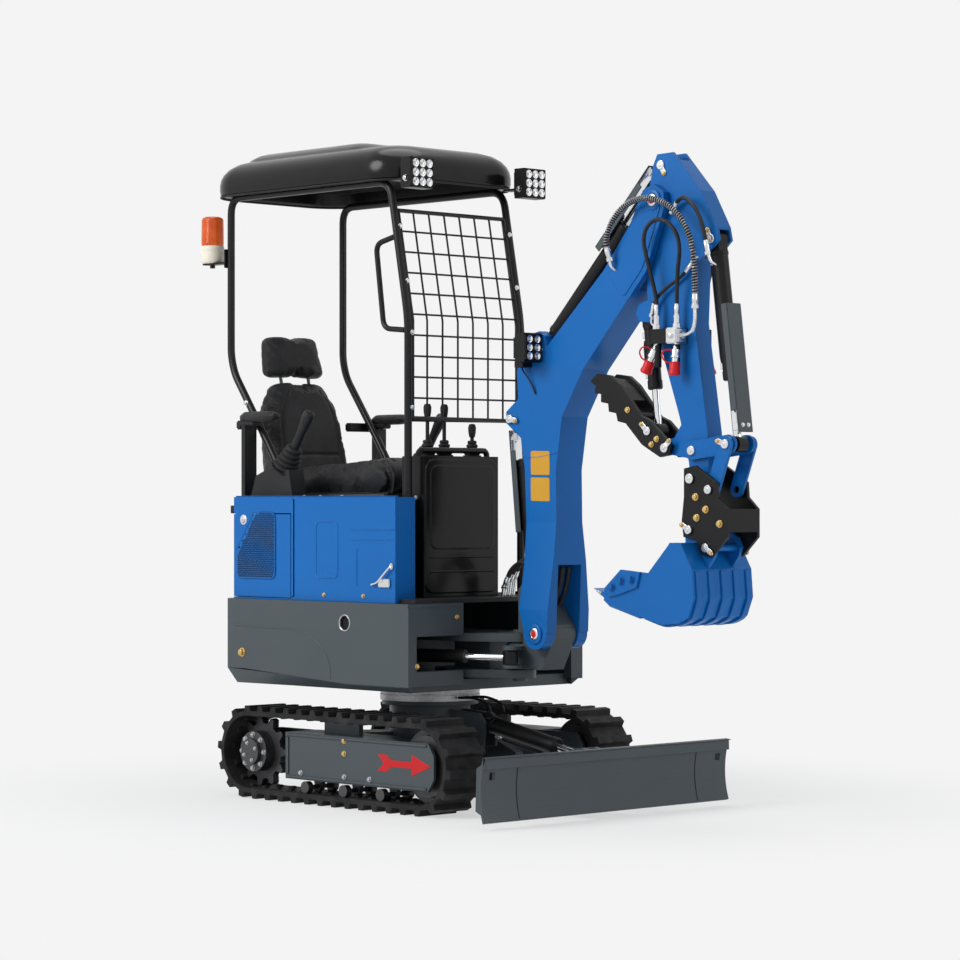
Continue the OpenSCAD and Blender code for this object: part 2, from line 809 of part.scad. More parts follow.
module canopy_posts() {
    end_tilt = post_d / 2 * sin(atan(post_lean));
    color(paint_black) both_sides() {
        tube([
            [-458, post_half, bonnet_top + 9], [-590, post_half, 1320], [-790, post_half, 1590],
            [rear_post_x, post_half, 1660], [rear_post_x, post_half, roof_bottom - seat_clear]
        ], post_d, [0, 1, 0]);
        tube([
            [front_post_x, post_half, floor_top + 1], [front_post_x, post_half, post_kink_z],
            [front_post_x - post_lean * (roof_bottom - post_kink_z), post_half, roof_bottom - seat_clear - end_tilt]
        ], post_d, [0, 1, 0]);
        translate([front_post_x, post_half, floor_top + 1]) cylinder(d = 60, h = post_foot_h);
        block(
            [-495, post_half - 29, bonnet_top + seat_clear],
            [-418, pod_in - seat_clear, bonnet_top + post_foot_h]
        );
    }
}

module mesh_guard() {
    half = post_half - post_d / 2 - 3;
    wire = 7;
    foot = 1400;
    rail = 12;
    // Uprights, wires and rows at different depths, so that no two faces lie in one plane
    module panel(out_y, h, rows) {
        pitch = (h - rail) / rows;
        both_sides() block([0, out_y - rail, 0], [rail, out_y, h]);
        for (i = [-2 : 2])
            block([2, i * out_y / 3 - wire / 2, 5], [2 + wire, i * out_y / 3 + wire / 2, h - 5]);
        for (k = [0 : rows])
            block([4, -out_y + 4, 2 + k * pitch], [4 + wire, out_y - 4, 2 + k * pitch + wire]);
    }
    color(paint_black) {
        translate([front_post_x - 6, 0, foot]) panel(half, post_kink_z - foot, 4);
        translate([front_post_x - 7, 0, post_kink_z - 9]) rotate([0, -atan(post_lean), 0]) panel(half - 2, 416, 4);
        both_sides() for (z = [foot + 30, post_kink_z - 60])
            block([front_post_x - 8, half - 6, z], [front_post_x + 8, half + 3 - seat_clear, z + 26]);
    }
}

// Rear side of a front post at a height above its bend
function post_back(z) =
    front_post_x - post_lean * (z - post_kink_z) - post_d / 2 / cos(atan(post_lean)) - 2;

module grab_handle() {
    color(paint_black) mirror([0, 1, 0]) tube([
        [front_post_x - post_d / 2 - 2.2, post_half, 1700], [112, post_half, 1712], [100, post_half, 1736],
        [66, post_half, 2010], [74, post_half, 2034], [post_back(2046), post_half, 2046]
    ], 20, [0, 1, 0]);
}

module work_lamps() {
    color(paint_black) for (y = [-285, 285]) {
        block([212, y - 55, 2228], [262, y + 55, 2338]);
        block([120, y - 22, 2262], [213, y + 22, 2270 - seat_clear]);
    }
}

module beacon() {
    arm_l = rear_post_x - post_d / 2 - seat_clear + 925;
    color([0.95, 0.45, 0.05]) translate([-925, -post_half, 0]) {
        translate([0, 0, 2015]) cylinder(d = 89, h = 74);
        translate([0, 0, 2089]) cylinder(r1 = 42, r2 = 34, h = 112);
        block([0, -20, 2030], [arm_l, 20, 2038]);
        block([arm_l - 12, -20, 2000], [arm_l, 20, 2068]);
    }
}

// Swing post and its cylinder

module swing_post() {
    gap = 5;
    color(paint_grey) difference() {
        union() {
            translate([swing_axis_x, 0, lug_low_z + lug_plate + gap])
                cylinder(r = 50, h = lug_high_z - lug_low_z - lug_plate - 2 * gap);
            plate(-post_half_w, post_half_w) polygon([
                [swing_axis_x, lug_low_z + lug_plate + gap], [640, lug_low_z + lug_plate + gap],
                [boom_pivot[0] + 44, boom_pivot[1] - 20], [boom_pivot[0] + 40, boom_pivot[1] + 30],
                [boom_base_pin[0] + 34, boom_base_pin[1] + 10], [boom_base_pin[0], boom_base_pin[1] + 34],
                [boom_base_pin[0] - 34, boom_base_pin[1]], [522, lug_high_z + lug_plate + gap],
                [545, lug_high_z + lug_plate + gap], [545, lug_high_z - gap], [swing_axis_x, lug_high_z - gap]
            ]);
            bar(boom_pivot, 96, -post_half_w, post_half_w);
            translate([0, 0, swing_z - bracket_t / 2 + 33]) linear_extrude(bracket_t)
                link_outline([swing_axis_x, 0], 50, swing_ear, 28);
            translate([0, 0, swing_z - bracket_t / 2 - 33]) linear_extrude(bracket_t)
                link_outline([swing_axis_x, 0], 50, swing_ear, 28);
            translate([swing_axis_x, 0, lug_low_z - 12])
                cylinder(d = swing_pin_d, h = lug_high_z + lug_plate + 24 - lug_low_z);
        }
        bar(boom_pivot, pivot_d + 2 * pin_clear, -100, 100);
        plate(-bracket_in, bracket_in) {
            translate(boom_base_pin) circle(36);
            polygon([[400, 753], [700, 753], [700, 900], [400, 900]]);
        }
    }
    color(steel) bar(boom_base_pin, eye_pin_d, -post_half_w, post_half_w);
}

module swing_barrel() {
    color(paint_black) along_plan(swing_base, swing_ear, swing_z) barrel(345, small_barrel_d, small_rod_d);
}

module swing_rod() {
    color(chrome) along_plan(swing_base, swing_ear, swing_z)
        rod(reach(swing_base, swing_ear), 185, small_rod_d);
}

// Boom

module boom_side() {
    polygon([
        [600, 640], [573, 725], [581, 869], [564, 1220], [545, 1330], [470, 1385], [470, 1425], [530, 1470],
        [525, 1566], [540, 1645], [600, 1700], [640, 1708], [664, 1690], [676, 1652], [955, 1909], [1080, 2060],
        [1140, 2172], [1187, 2190], [1235, 2160], [1240, 2110], [1154, 1892], [854, 1567], [751, 1402],
        [721, 1215], [726, 898], [715, 640]
    ]);
}

module boom() {
    color(paint_blue) difference() {
        union() {
            intersection() {
                plate(-boom_half, boom_half) boom_side();
                block([0, -200, 880], [2000, 200, 3000]);
            }
            both_sides() {
                intersection() {
                    plate(leg_in, leg_out) boom_side();
                    rotate([90, 0, 90]) linear_extrude(2000) polygon([
                        [leg_in - 1, boom_pivot[1]], [leg_out, boom_pivot[1]], [leg_out, leg_flare_z],
                        [boom_half, leg_top_z], [leg_in - 1, leg_top_z]
                    ]);
                }
                bar(boom_pivot, 112, leg_in, leg_out);
            }
            bar(boom_pivot, pivot_d, -leg_out - 6, leg_out + 6);
            bar(arm_pivot, pivot_d, -boom_half - 6, boom_half + 6);
            bar(arm_base_pin, eye_pin_d, -boom_half, boom_half);
        }
        // Fork for the arm's head
        plate(-fork_in, fork_in) difference() {
            union() {
                translate(arm_pivot) circle(205);
                polygon([[1096, 1700], [1400, 1700], [1400, 2135], [1096, 2135]]);
            }
            translate(arm_pivot) circle(pivot_d / 2);
        }
        // Pocket for the boom cylinder and its rod's eye
        plate(-boom_half + 18, boom_half - 18) polygon([
            [400, 700], [640, 700], [640, 900], [604, 1240], [578, 1345], [578, 1445], [420, 1475]
        ]);
        // Slot for the arm cylinder's eye
        plate(-bracket_in, bracket_in) difference() {
            union() {
                translate(arm_base_pin) circle(38);
                polygon([[560, 1672], [640, 1636], [760, 1720], [900, 1900], [560, 1900]]);
            }
            translate(arm_base_pin) circle(eye_pin_d / 2);
        }
    }
    color(steel) both_sides() bar(boom_rod_pin, eye_pin_d, boom_half - 18, boom_half + 8);
}

module boom_lamp() {
    color(paint_black) {
        block([600, -150, 1596], [648, -60 - boom_half / 10, 1700]);
        block([560, -112, 1580], [601, -boom_half - seat_clear, 1600]);
    }
}

module boom_barrel() {
    color(paint_black) along(boom_base_pin, boom_rod_pin) barrel(470, barrel_d, rod_d);
}

module boom_rod() {
    color(chrome) along(boom_base_pin, boom_rod_pin) {
        rod(reach(boom_base_pin, boom_rod_pin), 110, rod_d);
        rod_guard(reach(boom_base_pin, boom_rod_pin), 400, barrel_d / 2 + 6, 36);
    }
}

module arm_barrel() {
    color(paint_black) along(arm_base_pin, arm_rod_pin) barrel(540, barrel_d, rod_d);
}

module arm_rod() {
    color(chrome) along(arm_base_pin, arm_rod_pin) {
        rod(reach(arm_base_pin, arm_rod_pin), 270, rod_d);
        rod_guard(reach(arm_base_pin, arm_rod_pin), 400, barrel_d / 2 + 6, 34);
    }
}

// Arm

module arm_side() {
    translate(arm_pivot) circle(58);
    translate(bucket_pivot) circle(42);
    polygon([
        [1130, 2120], [1160, 2255], [1180, 2294], [1252, 2296], [1380, 2157], [1452, 2030], [1462, 1985],
        [1436, 1962], [1362, 1915], [1353, 1709], [1412, 1336], [1417, 1190], [1336, 1172], [1326, 1239],
        [1284, 1392], [1133, 1811]
    ]);
}

module arm() {
    color(paint_blue) difference() {
        union() {
            plate(-arm_half, arm_half) arm_side();
            plate(-34, 34) polygon([
                [1330, 1250], [1258, 1262], [1222, 1264], [1206, 1287], [1222, 1312], [1258, 1322], [1300, 1380]
            ]);
            both_sides() plate(bracket_in, bracket_out) polygon([
                [1150, 1800], [1092, 1784], [1080, 1752], [1096, 1724], [1180, 1716]
            ]);
            bar(thumb_pivot, eye_pin_d, -thumb_out - 4, thumb_out + 4);
            bar(thumb_base_pin, eye_pin_d, -bracket_out, bracket_out);
            bar(rocker_pivot, eye_pin_d, -rocker_out - 3, rocker_out + 3);
            bar(bucket_base_pin, eye_pin_d, -arm_half - 4, arm_half + 4);
            bar(bucket_pivot, pivot_d - 6, -hitch_out - 6, hitch_out + 6);
        }
        bar(arm_pivot, pivot_d + 2 * pin_clear, -100, 100);
        // Slot for the arm cylinder's rod eye
        plate(-bracket_in, bracket_in) polygon([
            [1080, 2130], [1150, 2168], [1180, 2200], [1260, 2200], [1290, 2320], [1080, 2320]
        ]);
        // Slot for the bucket cylinder's eye
        plate(-bracket_in, bracket_in) difference() {
            union() {
                translate(bucket_base_pin) circle(40);
                polygon([[1392, 1990], [1520, 2050], [1540, 1900], [1370, 1880]]);
            }
            translate(bucket_base_pin) circle(eye_pin_d / 2);
        }
    }
    color(steel) both_sides() bar(arm_rod_pin, eye_pin_d, bracket_in, arm_half + 2);
}

module hose_couplers() {
    valve_z = 1692;
    valve_out = arm_half + 50;
    color(paint_black) {
        both_sides() block([1195, arm_half + seat_clear, valve_z - 50], [1320, valve_out, valve_z]);
        for (x = [1212, 1297]) translate([x, -valve_out + 20, valve_z - 130]) cylinder(d = 24, h = 81);
        translate([1297, valve_out - 20, valve_z - 130]) cylinder(d = 24, h = 81);
    }
}

module bucket_barrel() {
    color(paint_black) along(bucket_base_pin, rocker_pin) barrel(480, barrel_d - 6, rod_d);
}

module bucket_rod() {
    color(chrome) along(bucket_base_pin, rocker_pin) {
        rod(reach(bucket_base_pin, rocker_pin), 200, rod_d);
        rod_guard(reach(bucket_base_pin, rocker_pin), 470, barrel_d / 2 + 4, 34);
    }
}

module rocker_links() {
    color(paint_blue) both_sides() {
        difference() {
            plate(rocker_in, rocker_out) link_outline(rocker_pivot, 32, rocker_pin, 32);
            bar(rocker_pivot, eye_pin_d + 2 * pin_clear, 0, 200);
        }
        bar(rocker_pin, eye_pin_d, rocker_out - 1, coupling_out + 3);
    }
}

module coupling_links() {
    color(paint_blue) both_sides() difference() {
        plate(coupling_in, coupling_out) link_outline(rocker_pin, 28, hitch_pin, 28);
        bar(rocker_pin, eye_pin_d + 2 * pin_clear, 0, 200);
        bar(hitch_pin, eye_pin_d + 2 * pin_clear, 0, 200);
    }
}

// Hitch and bucket

module hitch() {
    color(paint_black) {
        difference() {
            union() {
                both_sides() plate(hitch_in, hitch_out) polygon([
                    [1346, 1216], [1396, 1226], [1492, 1170], [1496, 1120], [1540, 1080], [1540, 985], [1470, 918],
                    [1425, 925], [1400, 975], [1344, 985], [1336, 1040], [1346, 1120]
                ]);
                plate(-hitch_in - 1, hitch_in + 1) polygon([
                    [1420, 1075], [1420, 1030], [1500, 1002], [1540, 1002], [1540, 1080]
                ]);
            }
            bar(bucket_pivot, pivot_d - 6 + 2 * pin_clear, -200, 200);
            bar(ear_pin_a, eye_pin_d + 2 * pin_clear, -200, 200);
            bar(ear_pin_b, eye_pin_d + 2 * pin_clear, -200, 200);
        }
        both_sides() bar(hitch_pin, eye_pin_d, hitch_in + 1, hitch_out + 6);
    }
}

// The bucket's side outline
function bucket_back() = [
    [1039, 770], [1065, 750], [1206, 713], [1303, 688], [1380, 694], [1426, 715], [1452, 780], [1444, 876],
    [1390, 962]
];

module bucket_side() {
    back = bucket_back();
    polygon(concat(
        [[1037, 800], [1122, 872], [1243, 862], [1340, 962]],
        [for (i = [len(back) - 1 : -1 : 0]) back[i]]
    ));
}

module bucket() {
    ear_out = hitch_in - 2;
    ear_t = 14;
    tooth_half = 24;
    cutter_t = 8;
    color(paint_blue) {
        for (p = [ear_pin_a, ear_pin_b]) bar(p, eye_pin_d, -hitch_out - 6, hitch_out + 6);
        for (y = [-bucket_half + tooth_half, 0, bucket_half - tooth_half])
            plate(y - tooth_half, y + tooth_half)
                polygon([[989, 806], [1040, 772], [1064, 752], [1070, 761], [1052, 790]]);
        difference() {
            plate(-bucket_half, bucket_half) bucket_side();
            plate(-bucket_half + bucket_t, bucket_half - bucket_t) polygon([
                [1000, 778], [1066, 760], [1206, 723], [1303, 698], [1376, 704], [1418, 722], [1441, 780],
                [1434, 872], [1384, 950], [1330, 950], [1236, 880], [1000, 900]
            ]);
        }
        plate(-bucket_half, bucket_half) polygon([
            [1330, 950], [1342, 966], [1392, 966], [1440, 882], [1430, 870], [1380, 950]
        ]);
        // Side cutters and the ears for the hitch's pins
        both_sides() {
            plate(bucket_half - 1, bucket_half + cutter_t) polygon([
                [1044, 806], [1122, 872], [1212, 865], [1196, 812], [1110, 786], [1064, 778]
            ]);
            plate(ear_out - ear_t, ear_out) polygon([
                [1340, 960], [1340, 1010], [1354, 1036], [1388, 1036], [1466, 984], [1480, 950], [1470, 920],
                [1440, 880], [1390, 955]
            ]);
        }
    }
}

// Thumb

module thumb() {
    color(paint_black) {
        difference() {
            union() {
                both_sides() plate(thumb_in, thumb_out) polygon([
                    [1250, 1262], [1262, 1292], [1234, 1320], [1160, 1384], [1120, 1400], [1020, 1510], [975, 1542],
                    [915, 1550], [880, 1524], [906, 1508], [902, 1482], [932, 1478], [932, 1450], [966, 1444],
                    [970, 1416], [1004, 1410], [1012, 1382], [1050, 1374], [1126, 1300], [1210, 1256]
                ]);
                plate(-thumb_in - 1, thumb_in + 1) polygon([
                    [1060, 1455], [1015, 1500], [972, 1530], [915, 1538], [894, 1524], [940, 1490], [1010, 1420]
                ]);
            }
            bar(thumb_pivot, eye_pin_d + 2 * pin_clear, -200, 200);
        }
        both_sides() bar(thumb_rod_pin, eye_pin_d, bracket_in + 2, thumb_out + 4);
    }
}

module thumb_barrel() {
    color(paint_black) along(thumb_base_pin, thumb_rod_pin) barrel(262, small_barrel_d, small_rod_d);
}

module thumb_rod() {
    color(chrome) along(thumb_base_pin, thumb_rod_pin)
        rod(reach(thumb_base_pin, thumb_rod_pin), 80, small_rod_d);
}

car_body();
side_frames();
track_right();
track_left();
end_wheels();
rollers();
slew_ring();
blade();
blade_wings();
blade_barrel();
blade_rod();
upper_frame();
counterweight();
bonnet();
engine_door();
engine_block();
floor_plate();
seat_base();
seat_cushion();
seat_back();
headrest();
armrests();
control_pods();
joysticks();
console();
travel_levers();
canopy_roof();
canopy_posts();
mesh_guard();
grab_handle();
work_lamps();
beacon();
swing_post();
swing_barrel();
swing_rod();
boom();
boom_lamp();
boom_barrel();
boom_rod();
arm_barrel();
arm_rod();
arm();
hose_couplers();
bucket_barrel();
bucket_rod();
rocker_links();
coupling_links();
hitch();
bucket();
thumb();
thumb_barrel();
thumb_rod();
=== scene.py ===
import json
import math

import bmesh
import bpy
from mathutils import Matrix, Vector
from mathutils.bvhtree import BVHTree
from mathutils.kdtree import KDTree

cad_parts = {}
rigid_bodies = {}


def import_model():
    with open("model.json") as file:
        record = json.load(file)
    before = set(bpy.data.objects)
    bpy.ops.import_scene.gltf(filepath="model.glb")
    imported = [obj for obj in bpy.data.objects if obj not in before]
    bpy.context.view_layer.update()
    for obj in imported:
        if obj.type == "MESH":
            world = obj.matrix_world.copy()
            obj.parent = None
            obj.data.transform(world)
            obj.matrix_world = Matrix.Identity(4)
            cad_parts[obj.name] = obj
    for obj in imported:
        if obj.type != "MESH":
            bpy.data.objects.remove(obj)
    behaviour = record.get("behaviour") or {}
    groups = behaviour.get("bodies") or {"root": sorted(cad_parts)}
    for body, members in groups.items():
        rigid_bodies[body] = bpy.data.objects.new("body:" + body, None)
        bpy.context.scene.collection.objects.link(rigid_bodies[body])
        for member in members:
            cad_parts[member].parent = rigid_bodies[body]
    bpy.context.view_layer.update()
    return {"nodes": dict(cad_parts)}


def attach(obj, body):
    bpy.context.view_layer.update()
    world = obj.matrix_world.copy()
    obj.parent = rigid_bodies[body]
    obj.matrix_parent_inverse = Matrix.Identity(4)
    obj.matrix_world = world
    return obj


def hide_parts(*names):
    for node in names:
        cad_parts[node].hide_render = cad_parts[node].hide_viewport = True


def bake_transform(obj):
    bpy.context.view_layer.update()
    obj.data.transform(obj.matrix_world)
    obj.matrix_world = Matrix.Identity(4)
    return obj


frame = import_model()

scene = bpy.context.scene

PALE = (0.905, 0.905, 0.905, 1)
FLOOR_WHITE = (0.86, 0.86, 0.86, 1)
SKY = (0.95, 0.97, 1.0, 1)
SKY_STRENGTH = 0.36
FLOOR_HALF = 60
FLOOR_DROP = 0.001
SMOOTH_ANGLE = math.radians(38)
HOSE_D = 0.014
CROSS_D = 0.012
GUARDED_END_D = 0.016
SWING_HOSE_D = 0.016
POST_Y = 0.285
PAD_PRESSURE = 4.0
CLOTH_FRAMES = 20
SEAT_TOP = 1.1323
DOWN = (0, 0, -1)
RIGHT = (0, -1, 0)


# Camera, light and floor

def set_camera():
    lens = bpy.data.cameras.new("camera")
    lens.lens, lens.sensor_width, lens.shift_y = 116.3, 36, 0.0177
    camera = bpy.data.objects.new("camera", lens)
    camera.location = (8.415, -7.841, 1.12)
    camera.rotation_euler = (math.radians(90), 0, math.radians(46.1))
    scene.collection.objects.link(camera)
    scene.camera = camera


def set_light():
    def lamp(name, place, aim, size, power):
        light = bpy.data.lights.new(name, "AREA")
        light.shape, light.size, light.energy = "DISK", size, power
        thing = bpy.data.objects.new(name, light)
        thing.location = place
        thing.rotation_euler = (Vector(aim) - Vector(place)).to_track_quat("-Z", "Y").to_euler()
        scene.collection.objects.link(thing)

    lamp("key_light", (-1.5, -6.0, 5.0), (0.3, 0, 1.0), 4.0, 330)
    lamp("top_light", (-0.5, 1.0, 7.0), (0.2, 0, 0.8), 5.0, 150)
    lamp("front_fill", (7.0, 2.0, 3.0), (0.3, 0, 1.0), 4.0, 70)

    world = bpy.data.worlds.new("studio")
    scene.world = world
    world.use_nodes = True
    tree = world.node_tree
    tree.nodes.clear()
    out = tree.nodes.new("ShaderNodeOutputWorld")
    seen = tree.nodes.new("ShaderNodeBackground")
    seen.inputs["Color"].default_value = PALE
    soft = tree.nodes.new("ShaderNodeBackground")
    soft.inputs["Color"].default_value = SKY
    soft.inputs["Strength"].default_value = SKY_STRENGTH
    mix = tree.nodes.new("ShaderNodeMixShader")
    tree.links.new(background_rays(tree), mix.inputs[0])
    tree.links.new(soft.outputs[0], mix.inputs[1])
    tree.links.new(seen.outputs[0], mix.inputs[2])
    tree.links.new(mix.outputs[0], out.inputs["Surface"])


def background_rays(tree):
    """1 for the rays that show a background: camera, glossy and transmission."""
    path = tree.nodes.new("ShaderNodeLightPath")
    either = None
    for name in ("Is Camera Ray", "Is Glossy Ray", "Is Transmission Ray"):
        if either is None:
            either = path.outputs[name]
            continue
        add = tree.nodes.new("ShaderNodeMath")
        add.operation, add.use_clamp = "ADD", True
        tree.links.new(either, add.inputs[0])
        tree.links.new(path.outputs[name], add.inputs[1])
        either = add.outputs[0]
    return either


def lay_floor():
    mesh = bpy.data.meshes.new("floor")
    far = FLOOR_HALF
    mesh.from_pydata([(-far, -far, 0), (far, -far, 0), (far, far, 0), (-far, far, 0)], [], [(0, 1, 2, 3)])
    floor = bpy.data.objects.new("floor", mesh)
    floor.location.z = -FLOOR_DROP
    scene.collection.objects.link(floor)
    material = bpy.data.materials.new("pale_floor")
    material.use_nodes = True
    tree = material.node_tree
    tree.nodes.clear()
    out = tree.nodes.new("ShaderNodeOutputMaterial")
    matt = tree.nodes.new("ShaderNodeBsdfDiffuse")
    matt.inputs["Color"].default_value = FLOOR_WHITE
    glow = tree.nodes.new("ShaderNodeEmission")
    glow.inputs["Color"].default_value = PALE
    place = tree.nodes.new("ShaderNodeTexCoord")
    length = tree.nodes.new("ShaderNodeVectorMath")
    length.operation = "LENGTH"
    fade = tree.nodes.new("ShaderNodeMapRange")
    fade.interpolation_type = "SMOOTHSTEP"
    for socket, value in (("From Min", 0.9), ("From Max", 2.6), ("To Min", 0.62), ("To Max", 1.0)):
        fade.inputs[socket].default_value = value
    seen = tree.nodes.new("ShaderNodeMath")
    seen.operation = "MULTIPLY"
    mix = tree.nodes.new("ShaderNodeMixShader")
    tree.links.new(place.outputs["Object"], length.inputs[0])
    tree.links.new(length.outputs["Value"], fade.inputs["Value"])
    tree.links.new(fade.outputs[0], seen.inputs[0])
    tree.links.new(background_rays(tree), seen.inputs[1])
    tree.links.new(seen.outputs[0], mix.inputs[0])
    tree.links.new(matt.outputs[0], mix.inputs[1])
    tree.links.new(glow.outputs[0], mix.inputs[2])
    tree.links.new(mix.outputs[0], out.inputs["Surface"])
    mesh.materials.append(material)


# Finishes

class Finish:
    """A material under construction on Object coordinates."""

    def __init__(self, name, **values):
        self.material = bpy.data.materials.new(name)
        self.material.use_nodes = True
        self.tree = self.material.node_tree
        self.shader = self.tree.nodes["Principled BSDF"]
        for socket, value in values.items():
            self.shader.inputs[socket.replace("_", " ")].default_value = value
        self.place = self.node("ShaderNodeTexCoord").outputs["Object"]

    def node(self, kind, **settings):
        made = self.tree.nodes.new(kind)
        for key, value in settings.items():
            setattr(made, key, value)
        return made

    def join(self, output, entry):
        self.tree.links.new(output, entry)

    def noise(self, scale, detail=4, stretch=None):
        made = self.node("ShaderNodeTexNoise")
        made.inputs["Scale"].default_value = scale
        made.inputs["Detail"].default_value = detail
        place = self.place
        if stretch:
            turn = self.node("ShaderNodeMapping")
            turn.inputs["Scale"].default_value = stretch
            self.join(place, turn.inputs["Vector"])
            place = turn.outputs[0]
        self.join(place, made.inputs["Vector"])
        return made.outputs["Fac"]

    def between(self, value, low, high, start=0.3, stop=0.7):
        made = self.node("ShaderNodeMapRange")
        for socket, number in (("From Min", start), ("From Max", stop), ("To Min", low), ("To Max", high)):
            made.inputs[socket].default_value = number
        self.join(value, made.inputs["Value"])
        return made.outputs[0]

    def colours(self, value, first, second):
        mix = self.node("ShaderNodeMix", data_type="RGBA")
        mix.inputs[6].default_value = (*first, 1)
        mix.inputs[7].default_value = (*second, 1)
        self.join(value, mix.inputs[0])
        return mix.outputs[2]

    def over(self, value, under, colour):
        mix = self.node("ShaderNodeMix", data_type="RGBA")
        self.join(under, mix.inputs[6])
        mix.inputs[7].default_value = (*colour, 1)
        self.join(value, mix.inputs[0])
        return mix.outputs[2]

    def base(self, output):
        self.join(output, self.shader.inputs["Base Color"])

    def rough(self, output):
        self.join(output, self.shader.inputs["Roughness"])

    def bump(self, height, strength, depth, edge=0.0):
        made = self.node("ShaderNodeBump")
        made.inputs["Strength"].default_value = strength
        made.inputs["Distance"].default_value = depth
        self.join(height, made.inputs["Height"])
        if edge:
            bevel = self.node("ShaderNodeBevel", samples=4)
            bevel.inputs["Radius"].default_value = edge
            self.join(bevel.outputs[0], made.inputs["Normal"])
        self.join(made.outputs[0], self.shader.inputs["Normal"])

    def edges(self, radius):
        """A mask of the sharp edges, found from a rounded normal."""
        bevel = self.node("ShaderNodeBevel", samples=4)
        bevel.inputs["Radius"].default_value = radius
        plain = self.node("ShaderNodeNewGeometry")
        dot = self.node("ShaderNodeVectorMath", operation="DOT_PRODUCT")
        self.join(bevel.outputs[0], dot.inputs[0])
        self.join(plain.outputs["True Normal"], dot.inputs[1])
        return self.between(dot.outputs["Value"], 1.0, 0.0, 0.86, 0.985)


def paint(name, colour, roughness, worn, edge=0.004, peel=0.05, coat=0.0, shine=0.35):
    """Sprayed paint: slight unevenness, orange peel, soft edges and light wear along them."""
    made = Finish(name, Coat_Weight=coat, Coat_Roughness=0.12, Specular_IOR_Level=shine)
    dark = tuple(c * 0.9 for c in colour)
    tint = made.colours(made.between(made.noise(2.2), 0, 1), dark, colour)
    rub = made.node("ShaderNodeMath", operation="MULTIPLY")
    made.join(made.edges(edge), rub.inputs[0])
    made.join(made.between(made.noise(38, 6), 0.0, 0.55, 0.42, 0.72), rub.inputs[1])
    made.base(made.over(rub.outputs[0], tint, worn))
    made.rough(made.between(made.noise(9), roughness * 0.85, roughness * 1.2))
    made.bump(made.noise(420, 2), peel, 0.0006, edge)
    return made.material


def metal(name, colour, roughness, scratch=(6, 6, 90), edge=0.0015):
    made = Finish(name, Metallic=1.0)
    made.base(made.colours(made.noise(30), tuple(c * 0.82 for c in colour), colour))
    made.rough(made.between(made.noise(14, 5, scratch), roughness * 0.6, roughness * 1.5))
    made.bump(made.noise(60, 4, scratch), 0.06, 0.0004, edge)
    return made.material


def moulded(name, colour, roughness, grain=650, strength=0.22, edge=0.003):
    """Moulded plastic or rubber with a fine grain."""
    made = Finish(name, Specular_IOR_Level=0.25)
    pale = tuple(min(1, c * 1.5 + 0.012) for c in colour)
    made.base(made.colours(made.between(made.noise(5, 6), 0, 0.45), colour, pale))
    made.rough(made.between(made.noise(16), roughness * 0.85, min(1, roughness * 1.15)))
    made.bump(made.noise(grain, 3), strength, 0.0008, edge)
    return made.material


def make_track_rubber():
    made = Finish("track_rubber_aged", Specular_IOR_Level=0.25)
    dust = made.between(made.noise(11, 8), 0.0, 0.55, 0.45, 0.75)
    made.base(made.colours(dust, (0.012, 0.012, 0.013), (0.055, 0.053, 0.05)))
    made.rough(made.between(made.noise(24), 0.55, 0.85))
    made.bump(made.noise(210, 6), 0.35, 0.0014, 0.004)
    return made.material


def make_seat_vinyl():
    made = Finish("seat_vinyl_grained", Sheen_Weight=0.05, Sheen_Roughness=0.5, Specular_IOR_Level=0.22)
    cells = made.node("ShaderNodeTexVoronoi", feature="DISTANCE_TO_EDGE")
    cells.inputs["Scale"].default_value = 330
    made.join(made.place, cells.inputs["Vector"])
    made.base(made.colours(made.between(made.noise(6, 5), 0, 1), (0.010, 0.010, 0.011),
                           (0.026, 0.026, 0.028)))
    made.rough(made.between(made.noise(40), 0.42, 0.6))
    made.bump(made.between(cells.outputs["Distance"], 0, 1, 0.0, 0.25), 0.28, 0.0007)
    return made.material


def make_hose_rubber():
    """Braided hose cover: fine crossing ribs under a satin skin."""
    made = Finish("hose_cover", Specular_IOR_Level=0.25)
    weave = made.node("ShaderNodeTexWave", bands_direction="DIAGONAL")
    weave.inputs["Scale"].default_value = 150
    weave.inputs["Distortion"].default_value = 1.5
    made.join(made.place, weave.inputs["Vector"])
    made.base(made.colours(made.between(made.noise(18, 5), 0, 1), (0.010, 0.010, 0.011), (0.03, 0.03, 0.031)))
    made.rough(made.between(made.noise(30), 0.42, 0.62))
    made.bump(weave.outputs["Fac"], 0.35, 0.0006)
    return made.material


def make_amber():
    made = Finish("beacon_lens", Transmission_Weight=0.35, IOR=1.45, Emission_Strength=0.06)
    made.shader.inputs["Emission Color"].default_value = (1.0, 0.24, 0.01, 1)
    made.base(made.colours(made.between(made.noise(24), 0, 1), (0.58, 0.060, 0.002), (0.80, 0.13, 0.006)))
    made.rough(made.between(made.noise(50), 0.08, 0.2))
    made.bump(made.noise(90, 2), 0.08, 0.0005)
    return made.material


